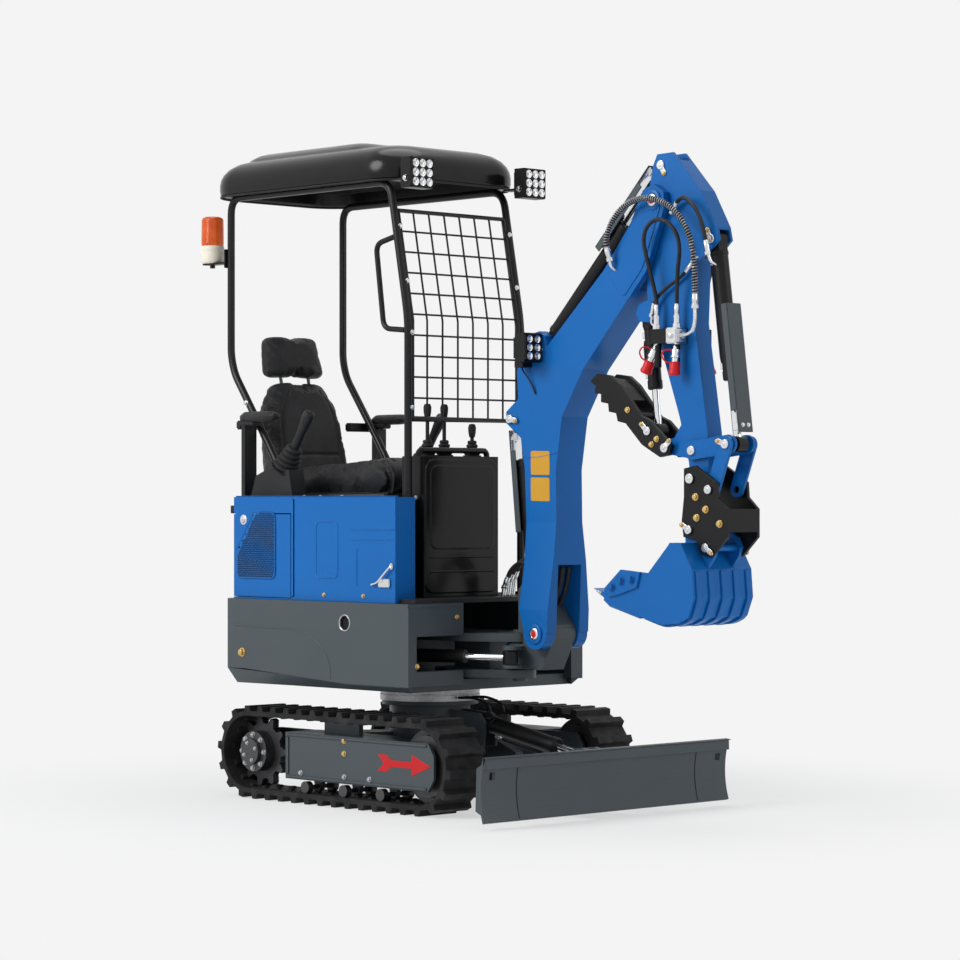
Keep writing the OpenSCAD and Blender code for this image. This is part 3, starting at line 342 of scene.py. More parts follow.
FINISH = {
    "blue": paint("sprayed_blue", (0.004, 0.142, 0.480), 0.32, (0.06, 0.23, 0.58), coat=0.05, shine=0.2),
    "grey": paint("sprayed_slate", (0.066, 0.082, 0.092), 0.42, (0.12, 0.14, 0.15), peel=0.10),
    "black": paint("sprayed_black", (0.009, 0.009, 0.010), 0.36, (0.04, 0.04, 0.04), shine=0.2),
    "gloss_black": paint("gloss_black", (0.006, 0.006, 0.0065), 0.2, (0.02, 0.02, 0.02), peel=0.02,
                         shine=0.25),
    "tube_black": paint("tube_black", (0.009, 0.009, 0.010), 0.3, (0.03, 0.03, 0.03), edge=0.002, shine=0.25),
    "red": paint("arrow_red", (0.62, 0.008, 0.012), 0.4, (0.4, 0.05, 0.05), edge=0.001),
    "yellow": paint("plate_yellow", (0.70, 0.36, 0.03), 0.4, (0.6, 0.4, 0.1), edge=0.001),
    "cream": moulded("cream_plastic", (0.78, 0.72, 0.60), 0.45, strength=0.08),
    "plastic": moulded("black_plastic_grained", (0.012, 0.012, 0.013), 0.5),
    "boot": moulded("rubber_boot", (0.011, 0.011, 0.012), 0.62, grain=320),
    "red_cap": moulded("red_cap_plastic", (0.60, 0.010, 0.018), 0.36, strength=0.08),
    "rubber": make_track_rubber(),
    "vinyl": make_seat_vinyl(),
    "hose": make_hose_rubber(),
    "amber": make_amber(),
    "steel": metal("machined_steel", (0.52, 0.53, 0.55), 0.34),
    "bright": metal("zinc_plated", (0.78, 0.79, 0.81), 0.24),
    "zinc": metal("yellow_zinc", (0.72, 0.52, 0.20), 0.3),
    "chrome": metal("chrome_plate", (0.86, 0.87, 0.89), 0.07, (3, 3, 40)),
    "spring": metal("spring_wire", (0.34, 0.345, 0.36), 0.34),
    "cast": metal("dark_cast_steel", (0.11, 0.11, 0.115), 0.5),
    # Near-black finish: painted shade in the grille's perforations and the outlet's opening, and the dark
    # seams of the blade's wings
    "dark": moulded("hole_shade_and_dark_seams", (0.004, 0.004, 0.005), 0.7),
    "glass": metal("lamp_reflector", (0.92, 0.93, 0.95), 0.1, (4, 4, 4)),
}

NODE_FINISH = {
    "grey": "car_body side_frames upper_frame counterweight blade blade_wings swing_post",
    "blue": "bonnet engine_door boom arm rocker_links coupling_links bucket",
    "rubber": "track_right track_left",
    "cast": "end_wheels rollers engine_block",
    "spring": "slew_ring",
    "black": "blade_barrel swing_barrel boom_barrel arm_barrel bucket_barrel thumb_barrel hitch thumb "
             "work_lamps boom_lamp hose_couplers",
    "chrome": "blade_rod swing_rod boom_rod arm_rod bucket_rod thumb_rod",
    "gloss_black": "console canopy_roof",
    "tube_black": "canopy_posts mesh_guard grab_handle",
    "plastic": "floor_plate seat_base control_pods joysticks travel_levers beacon",
    "vinyl": "seat_cushion seat_back headrest armrests",
}


def finish_nodes():
    for finish, names in NODE_FINISH.items():
        for name in names.split():
            for place in frame["nodes"][name].material_slots:
                place.material = FINISH[finish]


# Mesh tools

def show(name, mesh, finish, body, smooth=True):
    """A finished piece at the origin that rides on a body."""
    mesh.materials.clear()
    mesh.materials.append(FINISH[finish])
    thing = bpy.data.objects.new(name, mesh)
    scene.collection.objects.link(thing)
    for face in mesh.polygons:
        face.use_smooth = smooth
    if smooth:
        mesh.set_sharp_from_angle(angle=SMOOTH_ANGLE)
    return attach(thing, body) if body else thing


def to_mesh(name, build):
    mesh = bpy.data.meshes.new(name)
    build.to_mesh(mesh)
    build.free()
    return mesh


def added(parts):
    """Several bmesh forms in one."""
    whole = bmesh.new()
    for part in parts:
        mesh = to_mesh("part", part)
        whole.from_mesh(mesh)
        bpy.data.meshes.remove(mesh)
    return whole


def both_sides(build):
    """A form and its mirror image across the machine's middle."""
    other = build.copy()
    bmesh.ops.scale(other, vec=(1, -1, 1), verts=other.verts)
    bmesh.ops.reverse_faces(other, faces=other.faces)
    return added([build, other])


def block(low, high, edge=0.003, steps=2):
    build = bmesh.new()
    bmesh.ops.create_cube(build, size=1)
    low, high = Vector(low), Vector(high)
    bmesh.ops.scale(build, vec=high - low, verts=build.verts)
    bmesh.ops.translate(build, vec=(low + high) / 2, verts=build.verts)
    if edge:
        bmesh.ops.bevel(build, geom=build.edges[:], offset=edge, segments=steps, affect="EDGES")
    return build


def slab(outline, y0, y1, edge=0.0, steps=2):
    """An (x, z) outline made into a plate between two values of Y, with rounded rims."""
    build = bmesh.new()
    low = [build.verts.new((x, y0, z)) for x, z in outline]
    high = [build.verts.new((x, y1, z)) for x, z in outline]
    build.faces.new(low)
    build.faces.new(high[::-1])
    for i in range(len(outline)):
        k = (i + 1) % len(outline)
        build.faces.new((low[k], low[i], high[i], high[k]))
    bmesh.ops.recalc_face_normals(build, faces=build.faces)
    if edge:
        rims = [e for e in build.edges if abs(e.verts[0].co.y - e.verts[1].co.y) < 1e-6]
        bmesh.ops.bevel(build, geom=rims, offset=edge, segments=steps, affect="EDGES")
    return build


def lathe(profile, origin, axis=(0, 0, 1), sides=32):
    """(radius, height) pairs turned about an axis: a radius of 0 closes an end, equal ends close a ring."""
    build = bmesh.new()
    turn = Vector((0, 0, 1)).rotation_difference(Vector(axis)).to_matrix()
    rings = []
    closed = profile[0] == profile[-1]
    for radius, height in profile[:-1] if closed else profile:
        if radius < 1e-6:
            rings.append([build.verts.new(turn @ Vector((0, 0, height)) + Vector(origin))])
            continue
        ring = []
        for i in range(sides):
            a = 2 * math.pi * i / sides
            ring.append(build.verts.new(turn @ Vector((radius * math.cos(a), radius * math.sin(a), height))
                                        + Vector(origin)))
        rings.append(ring)
    if closed:
        rings.append(rings[0])
    for one, two in zip(rings, rings[1:]):
        for i in range(sides):
            k = (i + 1) % sides
            if len(one) == 1 and len(two) == 1:
                continue
            if len(one) == 1:
                build.faces.new((one[0], two[k], two[i]))
            elif len(two) == 1:
                build.faces.new((one[i], one[k], two[0]))
            else:
                build.faces.new((one[i], one[k], two[k], two[i]))
    for ring in (rings[0], rings[-1]):
        if len(ring) > 1 and not closed:
            build.faces.new(ring)
    bmesh.ops.recalc_face_normals(build, faces=build.faces)
    return build


def smooth_path(points, steps=8):
    """A curve through the points, close enough together to sweep."""
    pts = [Vector(p) for p in points]
    pts = [2 * pts[0] - pts[1], *pts, 2 * pts[-1] - pts[-2]]
    path = []
    for i in range(1, len(pts) - 2):
        a, b, c, d = pts[i - 1:i + 3]
        for k in range(steps):
            t = k / steps
            path.append(0.5 * ((2 * b) + (c - a) * t + (2 * a - 5 * b + 4 * c - d) * t * t
                               + (3 * b - a - 3 * c + d) * t ** 3))
    path.append(pts[-2])
    return path


def bent_path(points, radius, steps=6):
    """Straight runs with round bends at the corners, as bent tube has."""
    pts = [Vector(p) for p in points]
    path = [pts[0]]
    for a, b, c in zip(pts, pts[1:], pts[2:]):
        u, v = (a - b), (c - b)
        cut = min(radius, u.length * 0.45, v.length * 0.45)
        start, stop = b + u.normalized() * cut, b + v.normalized() * cut
        for k in range(steps + 1):
            t = k / steps
            path.append((1 - t) ** 2 * start + 2 * t * (1 - t) * b + t * t * stop)
    path.append(pts[-1])
    return path


def frames_along(path):
    """A steady cross direction at each point of a path."""
    cross, rows = None, []
    for i, p in enumerate(path):
        ahead = (path[min(i + 1, len(path) - 1)] - path[max(i - 1, 0)]).normalized()
        if cross is None:
            cross = ahead.orthogonal().normalized()
        cross = (cross - ahead * cross.dot(ahead)).normalized()
        rows.append((p, ahead, cross, ahead.cross(cross)))
    return rows


def tube(path, diameter, sides=14):
    build = bmesh.new()
    rings = []
    for p, _, u, v in frames_along(path):
        ring = []
        for i in range(sides):
            a = 2 * math.pi * i / sides
            ring.append(build.verts.new(p + diameter / 2 * (math.cos(a) * u + math.sin(a) * v)))
        rings.append(ring)
    for one, two in zip(rings, rings[1:]):
        for i in range(sides):
            k = (i + 1) % sides
            build.faces.new((one[i], one[k], two[k], two[i]))
    build.faces.new(rings[0])
    build.faces.new(rings[-1])
    bmesh.ops.recalc_face_normals(build, faces=build.faces)
    return build


def path_length(path):
    return sum((b - a).length for a, b in zip(path, path[1:]))


def ring_points(centre, radius, count, axis="y", start=0.0):
    points = []
    for i in range(count):
        a = start + 2 * math.pi * i / count
        c, s = radius * math.cos(a), radius * math.sin(a)
        step = {"y": (c, 0, s), "z": (c, s, 0), "x": (0, c, s)}[axis]
        points.append(Vector(centre) + Vector(step))
    return points


# Geometry Nodes

class Grower:
    """A node tree with named inputs that ends in Realize Instances and Set Material."""

    def __init__(self, name, **sizes):
        self.tree = bpy.data.node_groups.new(name, "GeometryNodeTree")
        self.tree.interface.new_socket("Geometry", in_out="INPUT", socket_type="NodeSocketGeometry")
        self.ids = {}
        for label, value in sizes.items():
            socket = self.tree.interface.new_socket(label, in_out="INPUT", socket_type="NodeSocketFloat")
            socket.default_value = value
            self.ids[label] = socket.identifier
        socket = self.tree.interface.new_socket("Finish", in_out="INPUT", socket_type="NodeSocketMaterial")
        self.ids["Finish"] = socket.identifier
        self.tree.interface.new_socket("Geometry", in_out="OUTPUT", socket_type="NodeSocketGeometry")
        self.entry = self.tree.nodes.new("NodeGroupInput")

    def node(self, kind, **settings):
        made = self.tree.nodes.new(kind)
        for key, value in settings.items():
            setattr(made, key, value)
        return made

    def join(self, output, socket):
        self.tree.links.new(output, socket)

    def scaled(self, label, factor):
        made = self.node("ShaderNodeMath", operation="MULTIPLY")
        self.join(self.entry.outputs[label], made.inputs[0])
        made.inputs[1].default_value = factor
        return made.outputs[0]

    def end(self, output):
        real = self.node("GeometryNodeRealizeInstances")
        coat = self.node("GeometryNodeSetMaterial")
        out = self.node("NodeGroupOutput")
        self.join(output, real.inputs["Geometry"])
        self.join(real.outputs[0], coat.inputs["Geometry"])
        self.join(self.entry.outputs["Finish"], coat.inputs["Material"])
        self.join(coat.outputs[0], out.inputs[0])

    def grow(self, name, base, finish, body, slot, **sizes):
        """Runs the tree on a mesh and makes its result a plain piece."""
        seed = bpy.data.objects.new(name + "_seed", base)
        scene.collection.objects.link(seed)
        modifier = seed.modifiers.new("grow", "NODES")
        modifier.node_group = self.tree
        for label, value in sizes.items():
            modifier[self.ids[label]] = value
        modifier[self.ids["Finish"]] = FINISH[finish]
        bpy.context.view_layer.update()
        ready = seed.evaluated_get(bpy.context.evaluated_depsgraph_get())
        mesh = bpy.data.meshes.new_from_object(ready)
        seed.modifiers.remove(modifier)
        bpy.data.objects.remove(seed)
        mesh.name = name
        return show(name, mesh, finish, body)


def facing_points(places):
    """Points that carry the direction they face and their size, from (point, direction, size)."""
    mesh = bpy.data.meshes.new("places")
    mesh.from_pydata([p for p, _, _ in places], [], [])
    way = mesh.attributes.new("facing", "FLOAT_VECTOR", "POINT")
    way.data.foreach_set("vector", [c for _, d, _ in places for c in d])
    size = mesh.attributes.new("size", "FLOAT", "POINT")
    size.data.foreach_set("value", [s for _, _, s in places])
    return mesh


def place_on_points(grow, shape):
    """Instances of a shape on the points, turned to face each point's way."""
    way = grow.node("GeometryNodeInputNamedAttribute", data_type="FLOAT_VECTOR")
    way.inputs["Name"].default_value = "facing"
    turn = grow.node("FunctionNodeAlignRotationToVector", axis="Z")
    grow.join(way.outputs["Attribute"], turn.inputs["Vector"])
    size = grow.node("GeometryNodeInputNamedAttribute", data_type="FLOAT")
    size.inputs["Name"].default_value = "size"
    copies = grow.node("GeometryNodeInstanceOnPoints")
    grow.join(grow.entry.outputs["Geometry"], copies.inputs["Points"])
    grow.join(shape, copies.inputs["Instance"])
    grow.join(turn.outputs[0], copies.inputs["Rotation"])
    grow.join(size.outputs["Attribute"], copies.inputs["Scale"])
    return copies.outputs[0]


def bolt_tree():
    """A hexagon head on a round washer; a point's size scales the pair."""
    grow = Grower("hex_bolt", Across=0.018, Height=0.009, Washer=0.027)
    parts = grow.node("GeometryNodeJoinGeometry")
    for sides, wide, high, lift in ((6, ("Across", 0.577), ("Height", 1.0), 0.62),
                                    (20, ("Washer", 0.5), ("Height", 0.24), 0.12),
                                    (12, ("Across", 0.36), ("Height", 0.16), 1.18)):
        drum = grow.node("GeometryNodeMeshCylinder")
        drum.inputs["Vertices"].default_value = sides
        grow.join(grow.scaled(*wide), drum.inputs["Radius"])
        grow.join(grow.scaled(*high), drum.inputs["Depth"])
        lifted = grow.node("GeometryNodeTransform")
        rise = grow.node("ShaderNodeCombineXYZ")
        grow.join(grow.scaled("Height", lift), rise.inputs["Z"])
        grow.join(drum.outputs["Mesh"], lifted.inputs["Geometry"])
        grow.join(rise.outputs[0], lifted.inputs["Translation"])
        grow.join(lifted.outputs[0], parts.inputs[0])
    grow.end(place_on_points(grow, parts.outputs[0]))
    return grow


def stud_tree():
    """A short drum on each point, for the grille's perforations, which are drawn as dark drums of painted
    shade rather than cut as holes.
    """
    grow = Grower("stud", Radius=0.003, Depth=0.002, Sides=6.0)
    drum = grow.node("GeometryNodeMeshCylinder")
    grow.join(grow.entry.outputs["Sides"], drum.inputs["Vertices"])
    grow.join(grow.entry.outputs["Radius"], drum.inputs["Radius"])
    grow.join(grow.entry.outputs["Depth"], drum.inputs["Depth"])
    grow.end(place_on_points(grow, drum.outputs["Mesh"]))
    return grow


def wire_tree():
    """Round wire along every edge of a mesh."""
    grow = Grower("wire", Thickness=0.005, Sides=8.0)
    lines = grow.node("GeometryNodeMeshToCurve")
    ring = grow.node("GeometryNodeCurvePrimitiveCircle")
    grow.join(grow.entry.outputs["Sides"], ring.inputs["Resolution"])
    grow.join(grow.scaled("Thickness", 0.5), ring.inputs["Radius"])
    sweep = grow.node("GeometryNodeCurveToMesh")
    sweep.inputs["Fill Caps"].default_value = True
    grow.join(grow.entry.outputs["Geometry"], lines.inputs["Mesh"])
    grow.join(lines.outputs[0], sweep.inputs["Curve"])
    grow.join(ring.outputs["Curve"], sweep.inputs["Profile Curve"])
    grow.end(sweep.outputs[0])
    return grow


BOLT, STUD, WIRE = bolt_tree(), stud_tree(), wire_tree()


def bolts(name, places, finish, body, slot="bare_steel"):
    """Bolts at (point, direction, scale)."""
    return BOLT.grow(name, facing_points(places), finish, body, slot)


def wire_lines(name, lines, thickness, finish, body, slot, sides=8):
    mesh = bpy.data.meshes.new("lines")
    points, edges = [], []
    for line in lines:
        first = len(points)
        points += [tuple(p) for p in line]
        edges += [(first + i, first + i + 1) for i in range(len(line) - 1)]
    mesh.from_pydata(points, edges, [])
    return WIRE.grow(name, mesh, finish, body, slot, Thickness=thickness, Sides=float(sides))


# Pieces are gathered by name, so that one finish on one body is one piece

GROUPS = {}


def put(name, finish, body, slot, *builds):
    GROUPS.setdefault((name, finish, body, slot), []).extend(builds)


def make_groups():
    for (name, finish, body, slot), builds in GROUPS.items():
        show(name, to_mesh(name, added(builds)), finish, body)


# Hoses

def hose(name, points, diameter, body=None, bend=None):
    """A hose between two fittings; when bend is given the hose's transform is baked into its mesh, and the
    bodies and places listed in bend are not used.
    """
    path = smooth_path(points)
    thing = show(name, to_mesh(name, tube(path, diameter)), "hose", body)
    if bend:
        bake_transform(thing)
    return path


def ferrule(path_end, path_next, diameter):
    """A crimped sleeve and hexagon nut at a hose's end, along its own line."""
    way = (Vector(path_next) - Vector(path_end)).normalized()
    sleeve = lathe([(0, -0.004), (diameter * 0.62, -0.004), (diameter * 0.62, 0.006),
                    (diameter * 0.68, 0.008),
                    (diameter * 0.68, 0.022), (diameter * 0.62, 0.024), (diameter * 0.62, 0.034), (0, 0.034)],
                   path_end, way, 20)
    nut = lathe([(0, -0.016), (diameter * 0.78, -0.016), (diameter * 0.78, -0.004), (0, -0.004)], path_end,
                way, 6)
    return [sleeve, nut]


def arm_hoses():
    loop = hose("arm_loop_hose", [
        (1.205, -0.066, 1.742), (1.204, -0.068, 1.800), (1.186, -0.082, 1.900), (1.172, -0.094, 1.985),
        (1.187, -0.099, 2.035), (1.232, -0.101, 2.062), (1.282, -0.099, 2.052), (1.322, -0.095, 2.010),
        (1.330, -0.088, 1.955), (1.312, -0.077, 1.880), (1.300, -0.068, 1.805), (1.298, -0.066, 1.742)
    ], HOSE_D, "arm")
    cross = hose("arm_cross_hose", [
        (1.172, -0.052, 1.752), (1.184, -0.056, 1.782), (1.206, -0.056, 1.808), (1.247, -0.055, 1.836),
        (1.290, -0.052, 1.860), (1.325, -0.050, 1.884), (1.348, -0.048, 1.908)
    ], CROSS_D, "arm")
    drop = hose("arm_left_hose", [
        (1.262, 0.052, 2.075), (1.300, 0.062, 2.060), (1.336, 0.070, 2.010), (1.340, 0.072, 1.940),
        (1.322, 0.070, 1.860), (1.302, 0.067, 1.795), (1.296, 0.066, 1.742)
    ], HOSE_D, "arm")
    arch = hose("bucket_feed_hose", [
        (1.268, -0.050, 2.098), (1.296, -0.060, 2.124), (1.335, -0.070, 2.132), (1.376, -0.074, 2.108),
        (1.407, -0.072, 2.064), (1.424, -0.068, 2.010), (1.434, -0.063, 1.950)
    ], HOSE_D, "arm")
    for path, diameter in ((loop, HOSE_D), (cross, CROSS_D), (drop, HOSE_D), (arch, HOSE_D)):
        put("arm_hose_ends", "bright", "arm", "bare_steel",
            *ferrule(path[0], path[1], diameter), *ferrule(path[-1], path[-2], diameter))
    # Elbows that lead the ends into the arm and its cylinder
    for route in ([(1.172, -0.052, 1.740), (1.165, -0.046, 1.715), (1.180, -0.037, 1.705)],
                  [(1.352, -0.047, 1.918), (1.360, -0.042, 1.928), (1.366, -0.030, 1.932)],
                  [(1.256, 0.050, 2.080), (1.246, 0.044, 2.084), (1.240, 0.034, 2.084)],
                  [(1.262, -0.048, 2.092), (1.252, -0.044, 2.088), (1.246, -0.034, 2.086)],
                  [(1.436, -0.062, 1.938), (1.439, -0.050, 1.912), (1.440, -0.026, 1.902)]):
        put("arm_hose_ends", "bright", "arm", "bare_steel", tube(smooth_path(route), 0.012))

    # Hose in a steel spiral over the arm's head, from the boom to the valve
    points = [
        (1.004, -0.090, 1.950), (0.999, -0.098, 1.985), (1.006, -0.102, 2.026), (1.036, -0.104, 2.076),
        (1.092, -0.106, 2.118), (1.160, -0.107, 2.138), (1.228, -0.107, 2.133), (1.300, -0.105, 2.104),
        (1.354, -0.101, 2.054), (1.384, -0.093, 1.990), (1.391, -0.083, 1.915), (1.389, -0.076, 1.840),
        (1.386, -0.072, 1.772)
    ]
    bend = ("boom", "arm", (1.02, -0.1, 2.1), (1.36, -0.1, 2.1))
    path = hose("guarded_hose", points, 0.015, None, bend)
    helix, run = [], 0.0
    fine = smooth_path(points, 60)
    for i, (p, _, u, v) in enumerate(frames_along(fine)):
        run += (fine[i] - fine[i - 1]).length if i else 0.0
        if 0.03 < run < path_length(fine) - 0.03:
            a = 2 * math.pi * run / 0.0096
            helix.append(p + 0.0095 * (math.cos(a) * u + math.sin(a) * v))
    spiral = wire_lines("hose_spiral", [helix], 0.0044, "spring", None, "bare_steel", 6)
    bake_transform(spiral)
    put("arm_hose_ends", "bright", "arm", "bare_steel", *ferrule(path[-1], path[-2], GUARDED_END_D),
        tube(smooth_path([(1.386, -0.072, 1.760), (1.384, -0.070, 1.715), (1.372, -0.068, 1.684),
                          (1.345, -0.066, 1.670), (1.312, -0.066, 1.668)]), 0.013),
        lathe([(0, 0), (0.012, 0), (0.012, 0.016), (0, 0.016)], (1.314, -0.066, 1.668), (1, 0, 0), 6))
    put("boom_hose_ends", "bright", "boom", "bare_steel", *ferrule(path[0], path[1], GUARDED_END_D),
        tube(smooth_path([(1.005, -0.088, 1.940), (1.008, -0.084, 1.918), (1.012, -0.070, 1.906),
                          (1.014, -0.058, 1.904)]), 0.013))


def red_cap(at, way):
    """A quick coupler's dust cap with its grips, and the loop that tethers it."""
    at, way = Vector(at), Vector(way).normalized()
    cap = lathe([(0, 0), (0.013, 0), (0.0165, 0.004), (0.0185, 0.008), (0.0185, 0.030), (0.0205, 0.033),
                 (0.0205, 0.043), (0.0175, 0.046), (0, 0.046)], at, way, 28)
    side = way.orthogonal().normalized()
    if side.x > 0:
        side = -side
    start = at + way * 0.006
    tether = smooth_path([start + side * 0.016, start + side * 0.034 - way * 0.006,
                          start + side * 0.046 - way * 0.022,
                          start + side * 0.042 - way * 0.040, start + side * 0.022 - way * 0.046,
                          start - way * 0.040 + side * 0.008])
    put("dust_caps", "red_cap", "arm", "black_plastic", cap, tube(tether, 0.0055, 8))


def couplers():
    """Fittings on the valve block and the capped quick couplers below it."""
    steel = []
    for x, y in ((1.205, -0.066), (1.298, -0.066), (1.296, 0.066)):
        steel.append(lathe([(0, 0), (0.0135, 0), (0.0135, 0.018), (0.010, 0.020), (0.010, 0.040), (0, 0.040)],
                           (x, y, 1.690), (0, 0, 1), 6))
    for at, way in (((1.212, -0.066, 1.648), (-0.42, -0.1, -0.9)), ((1.297, -0.066, 1.648), (0.0, -0.1, -1)),
                    ((1.297, 0.066, 1.648), (0.25, 0.1, -1))):
        at, way = Vector(at), Vector(way).normalized()
        steel.append(lathe([(0, -0.012), (0.013, -0.012), (0.013, 0.010), (0.0105, 0.012), (0.0105, 0.026),
                            (0.015, 0.028), (0.015, 0.046), (0.0165, 0.048), (0.0165, 0.056), (0.012, 0.058),
                            (0.012, 0.076), (0, 0.076)], at, way, 24))
        red_cap(at + way * 0.070, way)
    steel.append(block((1.272, -0.096, 1.640), (1.322, -0.040, 1.694), 0.004))
    steel.append(lathe([(0, 0), (0.010, 0), (0.010, 0.010), (0.006, 0.012), (0, 0.012)],
                       (1.297, -0.094, 1.667), RIGHT, 6))
    put("valve_block", "bright", "arm", "bare_steel", *steel)


# Soft goods

def swell(name, build, pressure, cap, flat=None):
    """A padded form: remeshed, blown up as cloth, held to a cap, and flat below where it rests."""
    mesh = to_mesh(name, build)
    thing = bpy.data.objects.new(name + "_form", mesh)
    scene.collection.objects.link(thing)
    bpy.context.view_layer.objects.active = thing
    remesh = thing.modifiers.new("remesh", "REMESH")
    remesh.mode, remesh.voxel_size = "VOXEL", 0.006
    bpy.context.view_layer.update()
    ready = thing.evaluated_get(bpy.context.evaluated_depsgraph_get())
    form = bpy.data.meshes.new_from_object(ready)
    thing.modifiers.remove(remesh)
    thing.data = form
    rest = [v.co.copy() for v in form.vertices]
    cloth = thing.modifiers.new("cloth", "CLOTH")
    cloth.settings.quality = 4
    cloth.settings.use_pressure = True
    cloth.settings.uniform_pressure_force = pressure
    cloth.settings.effector_weights.gravity = 0
    cloth.point_cache.frame_start, cloth.point_cache.frame_end = 1, CLOTH_FRAMES
    for frame_number in range(1, CLOTH_FRAMES + 1):
        scene.frame_set(frame_number)
    ready = thing.evaluated_get(bpy.context.evaluated_depsgraph_get())
    blown = bpy.data.meshes.new_from_object(ready)
    thing.modifiers.remove(cloth)
    scene.frame_set(1)
    for v, old in zip(blown.vertices, rest):
        step = v.co - old
        if step.length > cap:
            v.co = old + step.normalized() * cap
    thing.data = blown
    soft = thing.modifiers.new("soft", "SUBSURF")
    soft.levels = soft.render_levels = 1
    bpy.context.view_layer.update()
    ready = thing.evaluated_get(bpy.context.evaluated_depsgraph_get())
    result = bpy.data.meshes.new_from_object(ready)
    thing.modifiers.remove(soft)
    bpy.data.objects.remove(thing)
    if flat is not None:
        for v in result.vertices:
            v.co.z = max(v.co.z, flat)
    return result


def sew(mesh, lines, depth, width):
    """Draws the surface in along seam lines, each a list of points near it."""
    points = [p for line in lines for p in line]
    tree = KDTree(len(points))
    for i, p in enumerate(points):
        tree.insert(p, i)
    tree.balance()
    normals = [v.normal.copy() for v in mesh.vertices]
    for v, normal in zip(mesh.vertices, normals):
        _, _, gap = tree.find(v.co)
        if gap < 2.5 * width:
            v.co -= normal * depth * math.exp(-(gap / width) ** 2)


def on_surface(mesh, line, way):
    """Drops a line of points onto a mesh along a direction."""
    tree = BVHTree.FromPolygons([v.co for v in mesh.vertices], [p.vertices[:] for p in mesh.polygons])
    way = Vector(way).normalized()
    found = []
    for p in line:
        hit = tree.ray_cast(Vector(p) - way * 0.4, way)[0]
        if hit is not None:
            found.append(hit)
    return found


def stitches(name, lines, body):
    """Thread in short dashes along the seams."""
    dashes = []
    for line in lines:
        path = smooth_path(line, 4)
        for i in range(0, len(path) - 2, 2):
            dashes.append([path[i], (path[i] + path[i + 1]) / 2, path[i + 1]])
    return wire_lines(name, dashes, 0.0014, "plastic", body, "seat_vinyl", 5)


